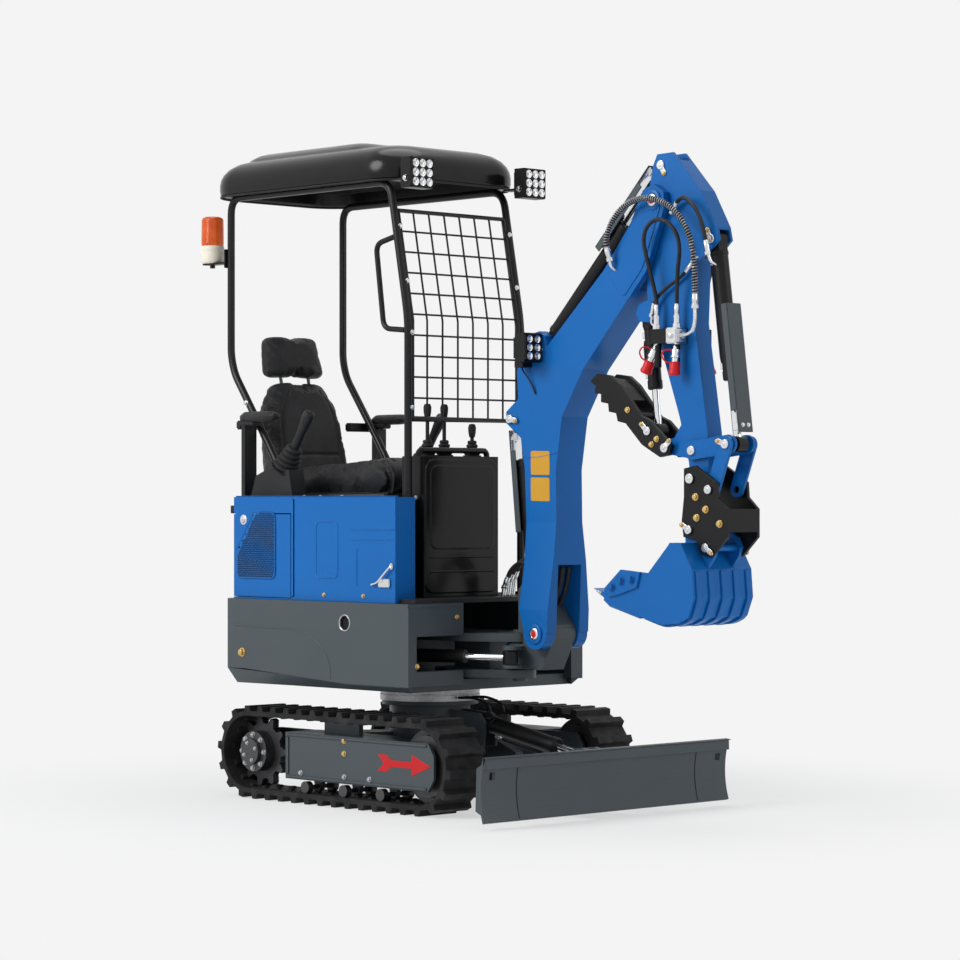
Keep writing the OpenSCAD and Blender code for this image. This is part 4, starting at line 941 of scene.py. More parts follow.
def make_seat():
    top = SEAT_TOP
    # Cushion with a raised front roll
    cushion = slab([(-0.592, top + 0.004), (0.000, top + 0.004), (0.012, top + 0.060), (-0.012, top + 0.104),
                    (-0.080, top + 0.112), (-0.300, top + 0.092), (-0.592, top + 0.080)], -0.208, 0.208,
                    0.026, 4)
    mesh = swell("seat_cushion_form", cushion, PAD_PRESSURE, 0.022, top)
    seams = [[Vector((i * 0.01 - 0.56, y, top + 0.3)) for i in range(52)] for y in (-0.135, 0.135)]
    seams.append([Vector((-0.115, i * 0.01 - 0.135, top + 0.3)) for i in range(28)])
    sew(mesh, [on_surface(mesh, line, DOWN) for line in seams], 0.007, 0.008)
    mesh.update()
    piece = show("seat_cushion_pad", mesh, "vinyl", "upper")
    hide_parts("seat_cushion")
    stitches("seat_cushion_stitches", [on_surface(mesh, line, DOWN) for line in seams], "upper")

    # Back, wide below and rounded in towards the headrest, leaning on the seat's line
    lean = Matrix.Translation((-0.640, 0, 1.1455)) @ Matrix.Rotation(math.radians(-12), 4, "Y")

    def leaning(width_at, low, high, back, front, edge):
        build = bmesh.new()
        steps, turns = 12, 5
        # Heights with the inset of the rounded ends
        quarter = [math.pi / 2 * i / turns for i in range(turns)]
        end = [(edge * (1 - math.cos(a)), edge * (1 - math.sin(a))) for a in quarter]
        levels = [(low + rise, inset) for rise, inset in end]
        levels += [(low + edge + (high - low - 2 * edge) * i / steps, 0) for i in range(steps + 1)]
        levels += [(high - rise, inset) for rise, inset in reversed(end)]
        rings = []
        for z, inset in levels:
            t = (z - low) / (high - low)
            w = width_at(t) - inset
            hollow = 0.014 * math.sin(math.pi * t)
            rear, face = back + inset, front - inset
            rings.append([build.verts.new((x, y, z)) for x, y in (
                (face - hollow, -w * 0.55), (face - hollow, w * 0.55), (face - 0.012, w * 0.86),
                (face - 0.030, w),
                (rear + 0.02, w), (rear, w * 0.8), (rear, -w * 0.8), (rear + 0.02, -w), (face - 0.030, -w),
                (face - 0.012, -w * 0.86))])
        for one, two in zip(rings, rings[1:]):
            for i in range(len(one)):
                k = (i + 1) % len(one)
                build.faces.new((one[i], one[k], two[k], two[i]))
        build.faces.new(rings[0][::-1])
        build.faces.new(rings[-1])
        bmesh.ops.recalc_face_normals(build, faces=build.faces)
        build.transform(lean)
        return build

    def back_width(t):
        return 0.214 - 0.006 * t if t < 0.5 else 0.211 - 0.092 * ((t - 0.5) / 0.5) ** 2.4

    mesh = swell("seat_back_form", leaning(back_width, 0.012, 0.438, -0.083, 0.003, 0.020), PAD_PRESSURE,
                 0.022, top)
    rearward = lean.to_3x3() @ Vector((-1, 0, 0))
    lines = []
    for side_y in (-1, 1):
        steps = [i / 40 for i in range(41)]
        line = [lean @ Vector((0.2, side_y * back_width(t) * 0.66, 0.03 + 0.36 * t)) for t in steps]
        lines.append(on_surface(mesh, line, rearward))
    cross = [lean @ Vector((0.2, i * 0.008 - 0.12, 0.14)) for i in range(31)]
    lines.append(on_surface(mesh, cross, rearward))
    sew(mesh, lines, 0.006, 0.008)
    mesh.update()
    piece = show("seat_back_pad", mesh, "vinyl", "upper")
    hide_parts("seat_back")
    stitches("seat_back_stitches", [on_surface(mesh, line, rearward) for line in lines], "upper")

    def rest_width(t):
        return 0.146 - 0.018 * t ** 2

    headrest = leaning(rest_width, 0.456, 0.616, -0.078, 0.000, 0.022)
    mesh = swell("headrest_form", headrest, PAD_PRESSURE, 0.014)
    piece = show("headrest_pad", mesh, "vinyl", "upper")
    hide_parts("headrest")
    for y in (-0.07, 0.07):
        stay = lathe([(0, 0.420), (0.0065, 0.420), (0.0065, 0.48), (0, 0.48)], (-0.04, y, 0), sides=16)
        stay.transform(lean)
        put("headrest_stays", "cast", "upper", "bare_steel", stay)

    # Armrests
    for name, sign in (("armrest_right", -1), ("armrest_left", 1)):
        pad = slab([(-0.684, 1.408), (-0.640, 1.404), (-0.520, 1.404), (-0.482, 1.414), (-0.480, 1.432),
                    (-0.510, 1.442), (-0.660, 1.442), (-0.686, 1.428)], 0.309, 0.359, 0.010, 4)
        if sign < 0:
            bmesh.ops.scale(pad, vec=(1, -1, 1), verts=pad.verts)
            bmesh.ops.recalc_face_normals(pad, faces=pad.faces)
        piece = show(name + "_pad", swell(name, pad, PAD_PRESSURE, 0.006), "vinyl", "upper")
        if sign < 0:
            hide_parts("armrests")
    put("armrest_brackets", "plastic", "upper", "black_plastic",
        both_sides(added([block((-0.712, 0.2053, 1.376), (-0.682, 0.345, 1.410), 0.005),
                          block((-0.690, 0.312, 1.388), (-0.600, 0.352, 1.408), 0.004)])))


# Canopy

def loft(rings):
    build = bmesh.new()
    rows = [[build.verts.new(p) for p in ring] for ring in rings]
    for one, two in zip(rows, rows[1:]):
        for i in range(len(one)):
            k = (i + 1) % len(one)
            build.faces.new((one[i], one[k], two[k], two[i]))
    build.faces.new(rows[0][::-1])
    build.faces.new(rows[-1])
    bmesh.ops.recalc_face_normals(build, faces=build.faces)
    return build


def rounded_ring(x0, x1, half, radius, z, steps=10):
    ring = []
    for cx, cy, start in ((x1 - radius, -half + radius, -90), (x1 - radius, half - radius, 0),
                          (x0 + radius, half - radius, 90), (x0 + radius, -half + radius, 180)):
        for i in range(steps + 1):
            a = math.radians(start + 90 * i / steps)
            ring.append(Vector((cx + radius * math.cos(a), cy + radius * math.sin(a), z)))
    return ring


def make_canopy():
    def ring(inset, z):
        return rounded_ring(-0.912 + inset, 0.172 - inset, 0.338 - inset, max(0.150 - inset * 0.55, 0.03), z)

    def crown(inset, z):
        """The raised rear centre."""
        return rounded_ring(-0.850 + inset, -0.040 - inset * 1.6, 0.262 - inset, max(0.13 - inset, 0.03), z)

    shell = loft([ring(0.034, 2.322), ring(0.030, 2.276), ring(0.024, 2.270), ring(0.008, 2.270),
                  ring(0.002, 2.276),
                  ring(0.000, 2.290), ring(0.000, 2.312), ring(0.004, 2.334), ring(0.012, 2.352),
                  ring(0.028, 2.372),
                  ring(0.055, 2.390), ring(0.090, 2.401), ring(0.140, 2.409), ring(0.200, 2.413),
                  ring(0.260, 2.415)])
    rise = loft([crown(0.000, 2.382), crown(0.012, 2.397), crown(0.032, 2.413), crown(0.060, 2.427),
                 crown(0.090, 2.435), crown(0.130, 2.439), crown(0.180, 2.440)])
    roof = show("roof_shell", to_mesh("roof_shell", added([shell, rise])), "gloss_black", "upper")
    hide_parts("canopy_roof")
    seal = ring(0.004, 2.268)
    put("roof_trim", "boot", "upper", "black_plastic", tube(seal + [seal[0]], 0.009, 8))

    lean = 0.19
    side = bent_path([(-0.458, -POST_Y, 1.129), (-0.590, -POST_Y, 1.320), (-0.790, -POST_Y, 1.590),
                      (-0.812, -POST_Y, 1.660),
                      (-0.812, -POST_Y, 2.264), (0.190 - lean * 0.504, -POST_Y, 2.264),
                      (0.190, -POST_Y, 1.760),
                      (0.190, -POST_Y, 0.757)], 0.062)
    feet = [lathe([(0, 0), (0.030, 0), (0.030, 0.009), (0.028, 0.012), (0, 0.012)], (0.190, -POST_Y, 0.757)),
            block((-0.495, -0.3017, 1.1203), (-0.418, -0.256, 1.132), 0.002)]
    posts = show("canopy_tubes", to_mesh("canopy_tubes", both_sides(
        added([tube(side, 0.0285, 20), *feet]))), "tube_black", "upper")
    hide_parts("canopy_posts")

    handle = bent_path([(0.1738, -POST_Y, 1.722), (0.060, -POST_Y, 1.732), (0.018, -POST_Y, 2.040),
                        (0.119, -POST_Y, 2.062)], 0.035)
    grip = show("grab_tube", to_mesh("grab_tube", tube(handle, 0.020, 18)), "tube_black", "upper")
    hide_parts("grab_handle")

    # Wire guard between the front posts, bent with them
    half, foot, bend, top = 0.268, 1.402, 1.758, 2.158

    def at(y, z):
        return (0.190 - lean * max(0.0, z - bend), y, z)

    columns = [[at(y, z) for z in (foot, bend, top)] for y in [half * (2 * i / 7 - 1) for i in range(1, 7)]]
    rows = [[at(-half, z), at(half, z)] for z in [foot + (top - foot) * i / 10 for i in range(1, 10)]]
    frame_line = [[at(-half, foot), at(-half, bend), at(-half, top), at(half, top), at(half, bend),
                   at(half, foot),
                   at(-half, foot)]]
    wires = wire_lines("guard_wires", columns + rows, 0.0074, "tube_black", "upper", "black_paint")
    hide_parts("mesh_guard")
    wire_lines("guard_frame", frame_line, 0.021, "tube_black", "upper", "black_paint", 12)
    clips = []
    for y, way in ((-POST_Y, -1), (POST_Y, 1)):
        for z in (1.443, 1.713, 1.90, 2.10):
            x = at(0, z)[0]
            near, far = sorted((y, y - way * 0.02))
            clips.append(block((x - 0.012, near, z - 0.013), (x + 0.014, far, z + 0.013), 0.003))
    put("guard_clips", "tube_black", "upper", "black_paint", *clips)
    bolts("guard_bolts", [((at(0, z)[0] + 0.013, y, z), (1, 0, 0), 0.7) for y in (-0.277, 0.277)
                          for z in (1.443, 1.713, 1.90, 2.10)], "bright", "upper")
    bolts("post_bolts", [((0.190, -0.299, z), RIGHT, 0.8) for z in (1.095, 1.02, 0.83)]
          + [((-0.705, -0.299, 1.478), RIGHT, 0.8), ((0.206, -0.262, 1.118), (1, 0, 0), 0.7)]
          + [((0.190, 0.299, z), (0, 1, 0), 0.8) for z in (1.095, 0.83)], "bright", "upper")


def lamp_face(name, x, y0, y1, z0, z1, columns, rows, body):
    """A lamp's bezel, reflector cells and cooling fins around its CAD housing, facing forward."""
    rim = 0.007
    edge = [Vector((x + 0.001, y, z)) for y, z in ((y0, z0), (y1, z0), (y1, z1), (y0, z1), (y0, z0))]
    put("lamp_bezels", "black", body, "lamp_body", *[
        block((x - 0.004, min(a.y, b.y) - rim / 2, min(a.z, b.z) - rim / 2),
              (x + 0.007, max(a.y, b.y) + rim / 2, max(a.z, b.z) + rim / 2), 0.002)
        for a, b in zip(edge, edge[1:])])
    cells, beads = [], []
    for i in range(columns):
        for k in range(rows):
            y = y0 + (y1 - y0) * (i + 0.5) / columns
            z = z0 + (z1 - z0) * (k + 0.5) / rows
            r = 0.42 * min((y1 - y0) / columns, (z1 - z0) / rows)
            cells.append(lathe([(r, 0.006), (r * 1.08, 0.006), (r * 1.08, 0), (0, 0), (0, 0.0006),
                                (r * 0.35, 0.0008),
                                (r * 0.8, 0.003), (r, 0.006)], (x, y, z), (1, 0, 0), 20))
            beads.append(lathe([(0, 0.0006), (r * 0.34, 0.0006), (r * 0.3, 0.003), (r * 0.15, 0.0045),
                                (0, 0.005)],
                               (x, y, z), (1, 0, 0), 12))
    put(name + "_reflectors", "glass", body, "lamp_body", *cells)
    put(name + "_diodes", "cream", body, "lamp_body", *beads)
    put("lamp_bezels", "black", body, "lamp_body", *[
        block((x - 0.062, y0 + (y1 - y0) * (i + 0.5) / 9 - 0.0015, z0 + 0.008),
              (x - 0.048, y0 + (y1 - y0) * (i + 0.5) / 9 + 0.0015, z1 - 0.008), 0.0006, 1) for i in range(9)])


def make_lamps():
    for name, y in (("right_lamp", -POST_Y), ("left_lamp", POST_Y)):
        lamp_face(name, 0.262, y - 0.050, y + 0.050, 2.233, 2.333, 3, 3, "upper")
        bolts(name + "_bolts", [((0.238, y + s * 0.055, 2.262), (0, s, 0), 0.9) for s in (-1, 1)], "bright",
              "upper")
        put("lamp_brackets", "black", "upper", "black_paint",
            block((0.226, y - 0.062, 2.254), (0.250, y - 0.0555, 2.272), 0.002),
            block((0.226, y + 0.0555, 2.254), (0.250, y + 0.062, 2.272), 0.002))
    lamp_face("boom_lamp", 0.648, -0.146, -0.070, 1.603, 1.693, 2, 3, "boom")

    # Beacon: ribbed amber dome on a cream base, held off the rear post by a bracket
    x, y = -0.925, -POST_Y
    profile = [(0, 2.089), (0.0425, 2.089), (0.0425, 2.094)]
    for i in range(14):
        z = 2.094 + i * 0.0068
        taper = 0.0432 - 0.0012 * (i / 14)
        profile += [(taper, z + 0.001), (taper + 0.0008, z + 0.0034), (taper, z + 0.0058)]
    profile += [(0.0415, 2.190), (0.038, 2.196), (0.029, 2.200), (0, 2.2012)]
    dome = show("beacon_dome", to_mesh("beacon_dome", lathe(profile, (x, y, 0), sides=48)), "amber", "upper")
    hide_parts("beacon")
    put("beacon_base", "cream", "upper", "black_plastic",
        lathe([(0, 2.020), (0.038, 2.020), (0.043, 2.024), (0.0445, 2.030), (0.0445, 2.060), (0.0435, 2.063),
               (0.0435, 2.066), (0.0445, 2.069), (0.0445, 2.083), (0.042, 2.088), (0, 2.089)], (x, y, 0),
               sides=48))
    put("beacon_bracket", "black", "upper", "black_paint",
        block((x - 0.034, y - 0.024, 2.014), (x + 0.098, y + 0.024, 2.021), 0.002),
        block((-0.833, y - 0.020, 1.998), (-0.8263, y + 0.020, 2.070), 0.002),
        lathe([(0, 0), (0.010, 0), (0.010, 0.014), (0, 0.014)], (x, y, 2.002), sides=6))
    bolts("beacon_bolts", [((-0.834, y, z), (-1, 0, 0), 0.6) for z in (2.045, 2.058)], "bright", "upper")


# Controls

def bellows(radius_low, radius_high, height, folds):
    profile = [(0, 0), (radius_low * 1.12, 0), (radius_low * 1.12, 0.005)]
    for i in range(folds):
        t = i / folds
        r = radius_low + (radius_high - radius_low) * t
        z = 0.006 + (height - 0.006) * t
        step = (height - 0.006) / folds
        profile += [(r * 0.86, z), (r, z + step * 0.3), (r, z + step * 0.6), (r * 0.84, z + step * 0.95)]
    return profile + [(radius_high * 0.8, height), (0, height)]


def make_controls():
    sticks, grips = [], []
    for y in (-0.337, 0.337):
        lean = Matrix.Translation((-0.432, y, 1.2223)) @ Matrix.Rotation(math.radians(34), 4, "Y")
        boot = lathe(bellows(0.051, 0.028, 0.100, 5), (0, 0, 0.0), sides=32)
        stick = lathe([(0, 0.085), (0.0085, 0.085), (0.0085, 0.130), (0, 0.130)], (0, 0, 0), sides=16)
        grip = lathe([(0, 0.098), (0.017, 0.098), (0.0165, 0.125), (0.0165, 0.160), (0.0195, 0.200),
                      (0.0225, 0.228),
                      (0.0225, 0.244), (0.020, 0.252), (0.014, 0.255), (0, 0.256)], (0, 0, 0), sides=24)
        button = lathe([(0, 0.252), (0.006, 0.252), (0.006, 0.258), (0.004, 0.260), (0, 0.260)],
                       (0.003, 0, 0), sides=16)
        for part in (boot, stick, grip, button):
            part.transform(lean)
        base = block((-0.470, y - 0.034, 1.2222), (-0.394, y + 0.034, 1.2290), 0.003)
        sticks += [boot, base]
        grips += [stick, grip, button]
    piece = show("joystick_boots", to_mesh("joystick_boots", added(sticks)), "boot", "upper")
    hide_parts("joysticks")
    put("joystick_grips", "plastic", "upper", "black_plastic", *grips)

    levers = []
    for y, tall in ((-0.153, 0.19), (-0.069, 0.19), (0.072, 0.12)):
        at = (0.150, y, 1.2683)
        levers.append(lathe(bellows(0.030, 0.013, 0.060, 4), at, sides=28))
        levers.append(lathe([(0, 0.05), (0.007, 0.05), (0.007, tall - 0.05), (0.011, tall - 0.046),
                             (0.014, tall - 0.03),
                             (0.015, tall - 0.012), (0.011, tall), (0, tall + 0.002)], at, sides=20))
    piece = show("travel_lever_set", to_mesh("travel_lever_set", added(levers)), "boot", "upper")
    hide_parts("travel_levers")

    # Front shield: a pressed panel with a rolled rim and two low ribs
    def panel(x0, x1, y0, y1, z0, z1, radius, edge):
        ring = rounded_ring(z0, z1, (y1 - y0) / 2, radius, 0.0)
        build = bmesh.new()
        mid = (y0 + y1) / 2
        low = [build.verts.new((x0, p.y + mid, p.x)) for p in ring]
        high = [build.verts.new((x1, p.y + mid, p.x)) for p in ring]
        for i in range(len(ring)):
            k = (i + 1) % len(ring)
            build.faces.new((low[i], low[k], high[k], high[i]))
        build.faces.new(low)
        build.faces.new(high)
        bmesh.ops.recalc_face_normals(build, faces=build.faces)
        rims = [e for e in build.edges if all(v in high for v in e.verts)]
        bmesh.ops.bevel(build, geom=rims, offset=edge, segments=3, affect="EDGES")
        return build

    put("shield_panel", "gloss_black", "upper", "black_paint",
        panel(0.2315, 0.2375, -0.244, 0.124, 0.770, 1.258, 0.042, 0.004),
        panel(0.2370, 0.2415, -0.222, 0.102, 0.930, 1.236, 0.034, 0.0035),
        block((0.2365, -0.222, 0.898), (0.2410, 0.102, 0.906), 0.002),
        block((0.2365, -0.222, 0.846), (0.2410, 0.102, 0.854), 0.002))
    rail = bent_path([(0.186, -0.232, 1.240), (0.186, -0.232, 1.290), (0.186, 0.112, 1.290),
                      (0.186, 0.112, 1.240)], 0.03)
    put("shield_rail", "tube_black", "upper", "black_paint", tube(rail, 0.0215, 16))

    # Tread ribs on the floor, the seat's pan and slide rails, and the filter beside the left rear post
    put("floor_ribs", "plastic", "upper", "black_plastic",
        *[block((-0.015 + 0.018 * i, 0.14, 0.7560), (-0.009 + 0.018 * i, 0.40, 0.7590), 0.001, 1)
          for i in range(18)])
    put("seat_pan", "plastic", "upper", "black_plastic",
        block((-0.570, -0.180, 1.098), (-0.030, 0.180, 1.1375), 0.002))
    put("seat_rails", "cast", "upper", "bare_steel", both_sides(added([
        block((-0.590, 0.170, 1.1200), (-0.010, 0.190, 1.1310), 0.002),
        block((-0.590, 0.216, 1.1204), (-0.010, 0.222, 1.1300), 0.001)])))
    put("left_canister", "plastic", "upper", "black_plastic",
        lathe([(0, 0), (0.034, 0), (0.036, 0.004), (0.036, 0.020), (0.034, 0.022), (0.034, 0.075),
               (0.036, 0.078),
               (0.036, 0.100), (0.032, 0.105), (0, 0.105)], (-0.455, 0.262, 1.245), (0.75, -0.25, -0.62), 28),
        block((-0.520, 0.262, 1.235), (-0.462, 0.272, 1.262), 0.003))


# Covers and castings

def rounded_outline(points, radius, steps=5):
    """An outline with its corners rounded off."""
    pts = [Vector((x, 0, z)) for x, z in points]
    path = []
    for i, b in enumerate(pts):
        a, c = pts[i - 1], pts[(i + 1) % len(pts)]
        u, v = a - b, c - b
        cut = min(radius, u.length * 0.45, v.length * 0.45)
        start, stop = b + u.normalized() * cut, b + v.normalized() * cut
        for k in range(steps + 1):
            t = k / steps
            p = (1 - t) ** 2 * start + 2 * t * (1 - t) * b + t * t * stop
            path.append((p.x, p.z))
    return path


def inside(point, outline, margin):
    """True where a point lies in an outline, and no nearer its rim than the margin."""
    x, z = point
    odd, near = False, 1e9
    for (x0, z0), (x1, z1) in zip(outline, outline[1:] + outline[:1]):
        if (z0 > z) != (z1 > z) and x < (x1 - x0) * (z - z0) / (z1 - z0) + x0:
            odd = not odd
        run, rise = x1 - x0, z1 - z0
        t = ((x - x0) * run + (z - z0) * rise) / (run ** 2 + rise ** 2 + 1e-12)
        t = max(0.0, min(1.0, t))
        near = min(near, math.hypot(x - x0 - t * run, z - z0 - t * rise))
    return odd and near > margin


def tail_line(half=0.440, radius=0.780, inset=0.038):
    """The tail's outer line with the step inwards at each point."""
    corner = math.asin(half / radius)
    line = [(0.340, -half, 0.0, inset), (0.040, -half, 0.0, inset), (-0.300, -half, 0.0, inset)]
    for i in range(25):
        a = math.pi + corner * (1 - i / 12)
        line.append((radius * math.cos(a), radius * math.sin(a), -inset * math.cos(a), -inset * math.sin(a)))
    return line + [(x, half, 0.0, -inset) for x in (-0.300, 0.040, 0.340)]


def make_covers():
    side = -0.420
    grille = rounded_outline([(-0.500, 1.066), (-0.386, 1.066), (-0.386, 0.814), (-0.612, 0.814),
                              (-0.612, 0.905)], 0.030)
    put("grille_plate", "blue", "engine_door", "blue_paint", slab(grille, side - 0.0035, side + 0.001, 0.002))
    pitch, holes = 0.0082, []
    for i in range(34):
        for k in range(36):
            p = (-0.62 + pitch * (i + 0.5 * (k % 2)), 0.81 + pitch * 0.866 * k)
            if inside(p, grille, 0.006):
                holes.append(((p[0], side - 0.0035, p[1]), RIGHT, 1.0))
    # The perforations are near-black drums on the plate: painted shade where open holes would show the dark
    # inside
    STUD.grow("grille_hole_shade", facing_points(holes), "dark", "engine_door", "black_plastic", Radius=0.0033,
              Depth=0.0012)

    # Blank plate under the lock, and a seal behind the door's upper gap
    rose = rounded_outline([(-0.622, 1.064), (-0.512, 1.064), (-0.622, 0.912)], 0.016)
    put("lock_rose", "blue", "engine_door", "blue_paint", slab(rose, side - 0.0015, side + 0.001, 0.0008, 1))
    put("door_seal", "boot", "upper", "black_plastic",
        block((-0.672, -0.404, 1.058), (-0.296, -0.384, 1.088), 0.002))

    def raised(points, radius, body, diameter=0.006, closed=True):
        ring = [Vector((x, side + 0.0006, z)) for x, z in rounded_outline(points, radius)]
        put("pressed_lines", "blue", body, "blue_paint",
            tube(ring + ring[:1] if closed else ring, diameter, 8))

    raised([(-0.160, 1.030), (-0.040, 1.030), (-0.040, 0.825), (-0.160, 0.825)], 0.028, "upper")
    raised([(0.060, 0.935), (0.066, 0.935), (0.066, 0.800), (0.060, 0.800)], 0.002, "upper", 0.004)
    put("pressed_lines", "blue", "upper", "blue_paint",
        block((0.030, side - 0.0012, 0.964), (0.262, side + 0.001, 0.969), 0.001, 1),
        block((0.030, side - 0.0012, 1.000), (0.262, side + 0.001, 1.004), 0.001, 1),
        block((-0.297, side - 0.004, 0.752), (-0.282, side + 0.001, 1.112), 0.0025),
        block((-0.640, side + 0.014, 1.1195), (0.262, side + 0.026, 1.1245), 0.002))
    # Door lock and the front latch
    put("door_lock", "bright", "engine_door", "bare_steel",
        lathe([(0, 0), (0.019, 0), (0.019, 0.002), (0.013, 0.004), (0.0115, 0.008), (0.004, 0.009),
               (0, 0.009)],
              (-0.572, side - 0.001, 1.035), RIGHT, 28),
        block((-0.5735, side - 0.0122, 1.029), (-0.5705, side - 0.009, 1.041), 0.0005, 1))
    latch = smooth_path([(0.150, -0.428, 0.806), (0.185, -0.432, 0.815), (0.215, -0.434, 0.838),
                         (0.252, -0.430, 0.872)])
    put("bonnet_latch", "bright", "upper", "bare_steel", tube(latch, 0.008, 10),
        block((0.186, -0.430, 0.798), (0.246, -0.4195, 0.828), 0.003),
        lathe([(0, 0), (0.008, 0), (0.008, 0.014), (0, 0.014)], (0.205, side, 0.822), RIGHT, 16),
        block((0.246, -0.4295, 0.862), (0.262, -0.4195, 0.884), 0.003))
    bolts("cover_bolts", [((x, side, 0.764), RIGHT, 0.6) for x in (-0.115, 0.10)]
          + [((x, y, 1.120), (0, 0, 1), 0.6) for x, y in ((-0.26, -0.39), (-0.17, -0.39), (-0.05, -0.39))],
          "zinc", "upper")

    # Outlet collar with a dark disc of painted shade in its opening, moulded line, bolt, pads and lower lip
    # of the counterweight
    wall = -0.440
    put("outlet_collar", "steel", "upper", "grey_paint",
        lathe([(0.025, -0.006), (0.031, -0.006), (0.031, 0.001), (0.0285, 0.0035), (0.0255, 0.001),
               (0.025, -0.006)],
              (0.020, wall, 0.666), RIGHT, 40))
    # A near-black disc inside the collar: painted shade of the outlet's opening
    put("outlet_dark", "dark", "upper", "black_plastic",
        lathe([(0, 0), (0.0265, 0), (0.0265, 0.002), (0, 0.002)], (0.020, wall + 0.012, 0.666), RIGHT, 32))
    line = smooth_path([(-0.60, wall, 0.640), (-0.45, wall, 0.637), (-0.28, wall, 0.634),
                        (-0.20, wall, 0.622),
                        (-0.13, wall, 0.592), (-0.085, wall, 0.552), (-0.062, wall, 0.505),
                        (-0.056, wall, 0.462)])
    put("casting_line", "grey", "upper", "grey_paint",
        tube([p + Vector((0, 0.0008, 0)) for p in line], 0.006, 8))
    bolts("counterweight_bolts", [((-0.558, wall + 0.001, 0.540), RIGHT, 1.25)], "zinc", "upper")
    put("tail_pads", "boot", "upper", "black_plastic",
        *[block((-0.786, y - 0.045, z), (-0.772, y + 0.045, z + 0.05), 0.006)
          for y in (-0.20, 0.20) for z in (0.62, 0.54)])
    lip = bmesh.new()
    rows = []
    for x, y, inset_x, inset_y in tail_line():
        low = 0.446 + 0.034 * min(1.0, max(0.0, (0.040 - x) / 0.580))
        inner = (x + inset_x, y + inset_y)
        rows.append([lip.verts.new(v) for v in ((x, y, low), (*inner, 0.4246), (*inner, low))])
    for one, two in zip(rows, rows[1:]):
        for i in range(3):
            k = (i + 1) % 3
            lip.faces.new((one[i], one[k], two[k], two[i]))
    lip.faces.new(rows[0])
    lip.faces.new(rows[-1])
    bmesh.ops.recalc_face_normals(lip, faces=lip.faces)
    put("tail_lip", "grey", "upper", "grey_paint", lip)
    put("skirt_lip", "grey", "upper", "grey_paint",
        block((0.352, -0.440, 0.725), (0.3635, -0.172, 0.741), 0.004))
    bolts("front_bolts", [((0.3605, y, z), (1, 0, 0), 0.7) for y, z in ((-0.205, 0.690), (-0.40, 0.52))],
          "zinc", "upper")


# Undercarriage and blade

def make_undercarriage():
    face = -0.453
    arrow = [(0.214, 0.206), (0.262, 0.206), (0.286, 0.188), (0.392, 0.188), (0.392, 0.214), (0.492, 0.176),
             (0.392, 0.138), (0.392, 0.164), (0.286, 0.164), (0.262, 0.146), (0.214, 0.146), (0.244, 0.176)]
    put("direction_arrows", "red", "undercarriage", "grey_paint",
        both_sides(slab(arrow, face - 0.0012, face + 0.0005, 0.0005, 1)))
    places, hub = [], []
    for s in (-1, 1):
        places += [((0.034, s * 0.453, z), (0, s, 0), 0.8) for z in (0.242, 0.196)]
        hub += [(p, (0, s, 0), 0.8) for p in ring_points((-0.500, s * 0.435, 0.172), 0.062, 8)]
        hub += [(p, (0, s, 0), 0.55) for p in ring_points((-0.500, s * 0.453, 0.172), 0.034, 4, start=0.4)]
        hub += [((x, s * 0.453, 0.112), (0, s, 0), 0.75) for x in (-0.206, 0.034, 0.17)]
    bolts("frame_bolts", places, "zinc", "undercarriage")
    bolts("hub_bolts", hub, "steel", "undercarriage")
    bolts("slew_bolts", [(p, (0, 0, -1), 0.9) for p in ring_points((0, 0, 0.372), 0.165, 20, "z")], "steel",
          "undercarriage")
    # Welded rims of each side frame
    put("frame_trim", "grey", "undercarriage", "grey_paint", both_sides(added([
        block((-0.285, -0.4575, 0.243), (0.470, -0.4525, 0.254), 0.002),
        block((-0.285, -0.4575, 0.090), (0.470, -0.4525, 0.101), 0.002),
        block((-0.288, -0.4565, 0.104), (-0.272, -0.4525, 0.240), 0.002)])))

    def front_face(z, out):
        """X of the blade's hollow front at a height, standing out by a distance."""
        return 1.2426 - math.sqrt(0.330 ** 2 - (z - 0.130) ** 2) + out

    seam = [0.030 + 0.172 * i / 10 for i in range(11)]
    rim = [(front_face(z, -0.002), z) for z in seam] + [(front_face(z, 0.0012), z) for z in reversed(seam)]
    for y in (-0.450, 0.450):
        put("wing_seams", "dark", "blade", "grey_paint", slab(rim, y - 0.0012, y + 0.0012))
    fold = [(0.9190, 0.2030), (0.9335, 0.2042), (0.9322, 0.2430), (0.9200, 0.2445)]
    put("blade_lip", "grey", "blade", "grey_paint", slab(fold, -0.615, 0.615, 0.0016))
    put("blade_ribs", "grey", "blade", "grey_paint", both_sides(added([
        slab([(0.905, 0.045), (0.914, 0.225), (0.878, 0.205), (0.872, 0.060)], y - 0.005, y + 0.005, 0.001, 1)
        for y in (0.28, 0.43, 0.60)])))
    tie = smooth_path([(0.700, -0.030, 0.300), (0.690, -0.034, 0.330), (0.620, -0.036, 0.350),
                       (0.540, -0.036, 0.348)])
    put("blade_pipes", "black", "undercarriage", "black_paint", *[
        tube([p + Vector((-0.35, 0.002 + k * 0.068, 0.038)) for p in tie], 0.010, 10) for k in range(2)])


# Boom, arm and tools

def along(a, b):
    """The place and turn of a cylinder's line in the side view, its first point at the origin."""
    turn = math.atan2(b[1] - a[1], b[0] - a[0])
    return Matrix.Translation((a[0], 0, a[1])) @ Matrix.Rotation(-turn, 4, "Y")


LINES = {
    "boom": ((0.555, 0.789), (0.494, 1.399), 0.400, 0.040, 0.110),
    "arm": ((0.635, 1.672), (1.197, 2.256), 0.400, 0.040, 0.110),
    "bucket": ((1.428, 1.990), (1.517, 1.297), 0.470, 0.036, 0.110),
}


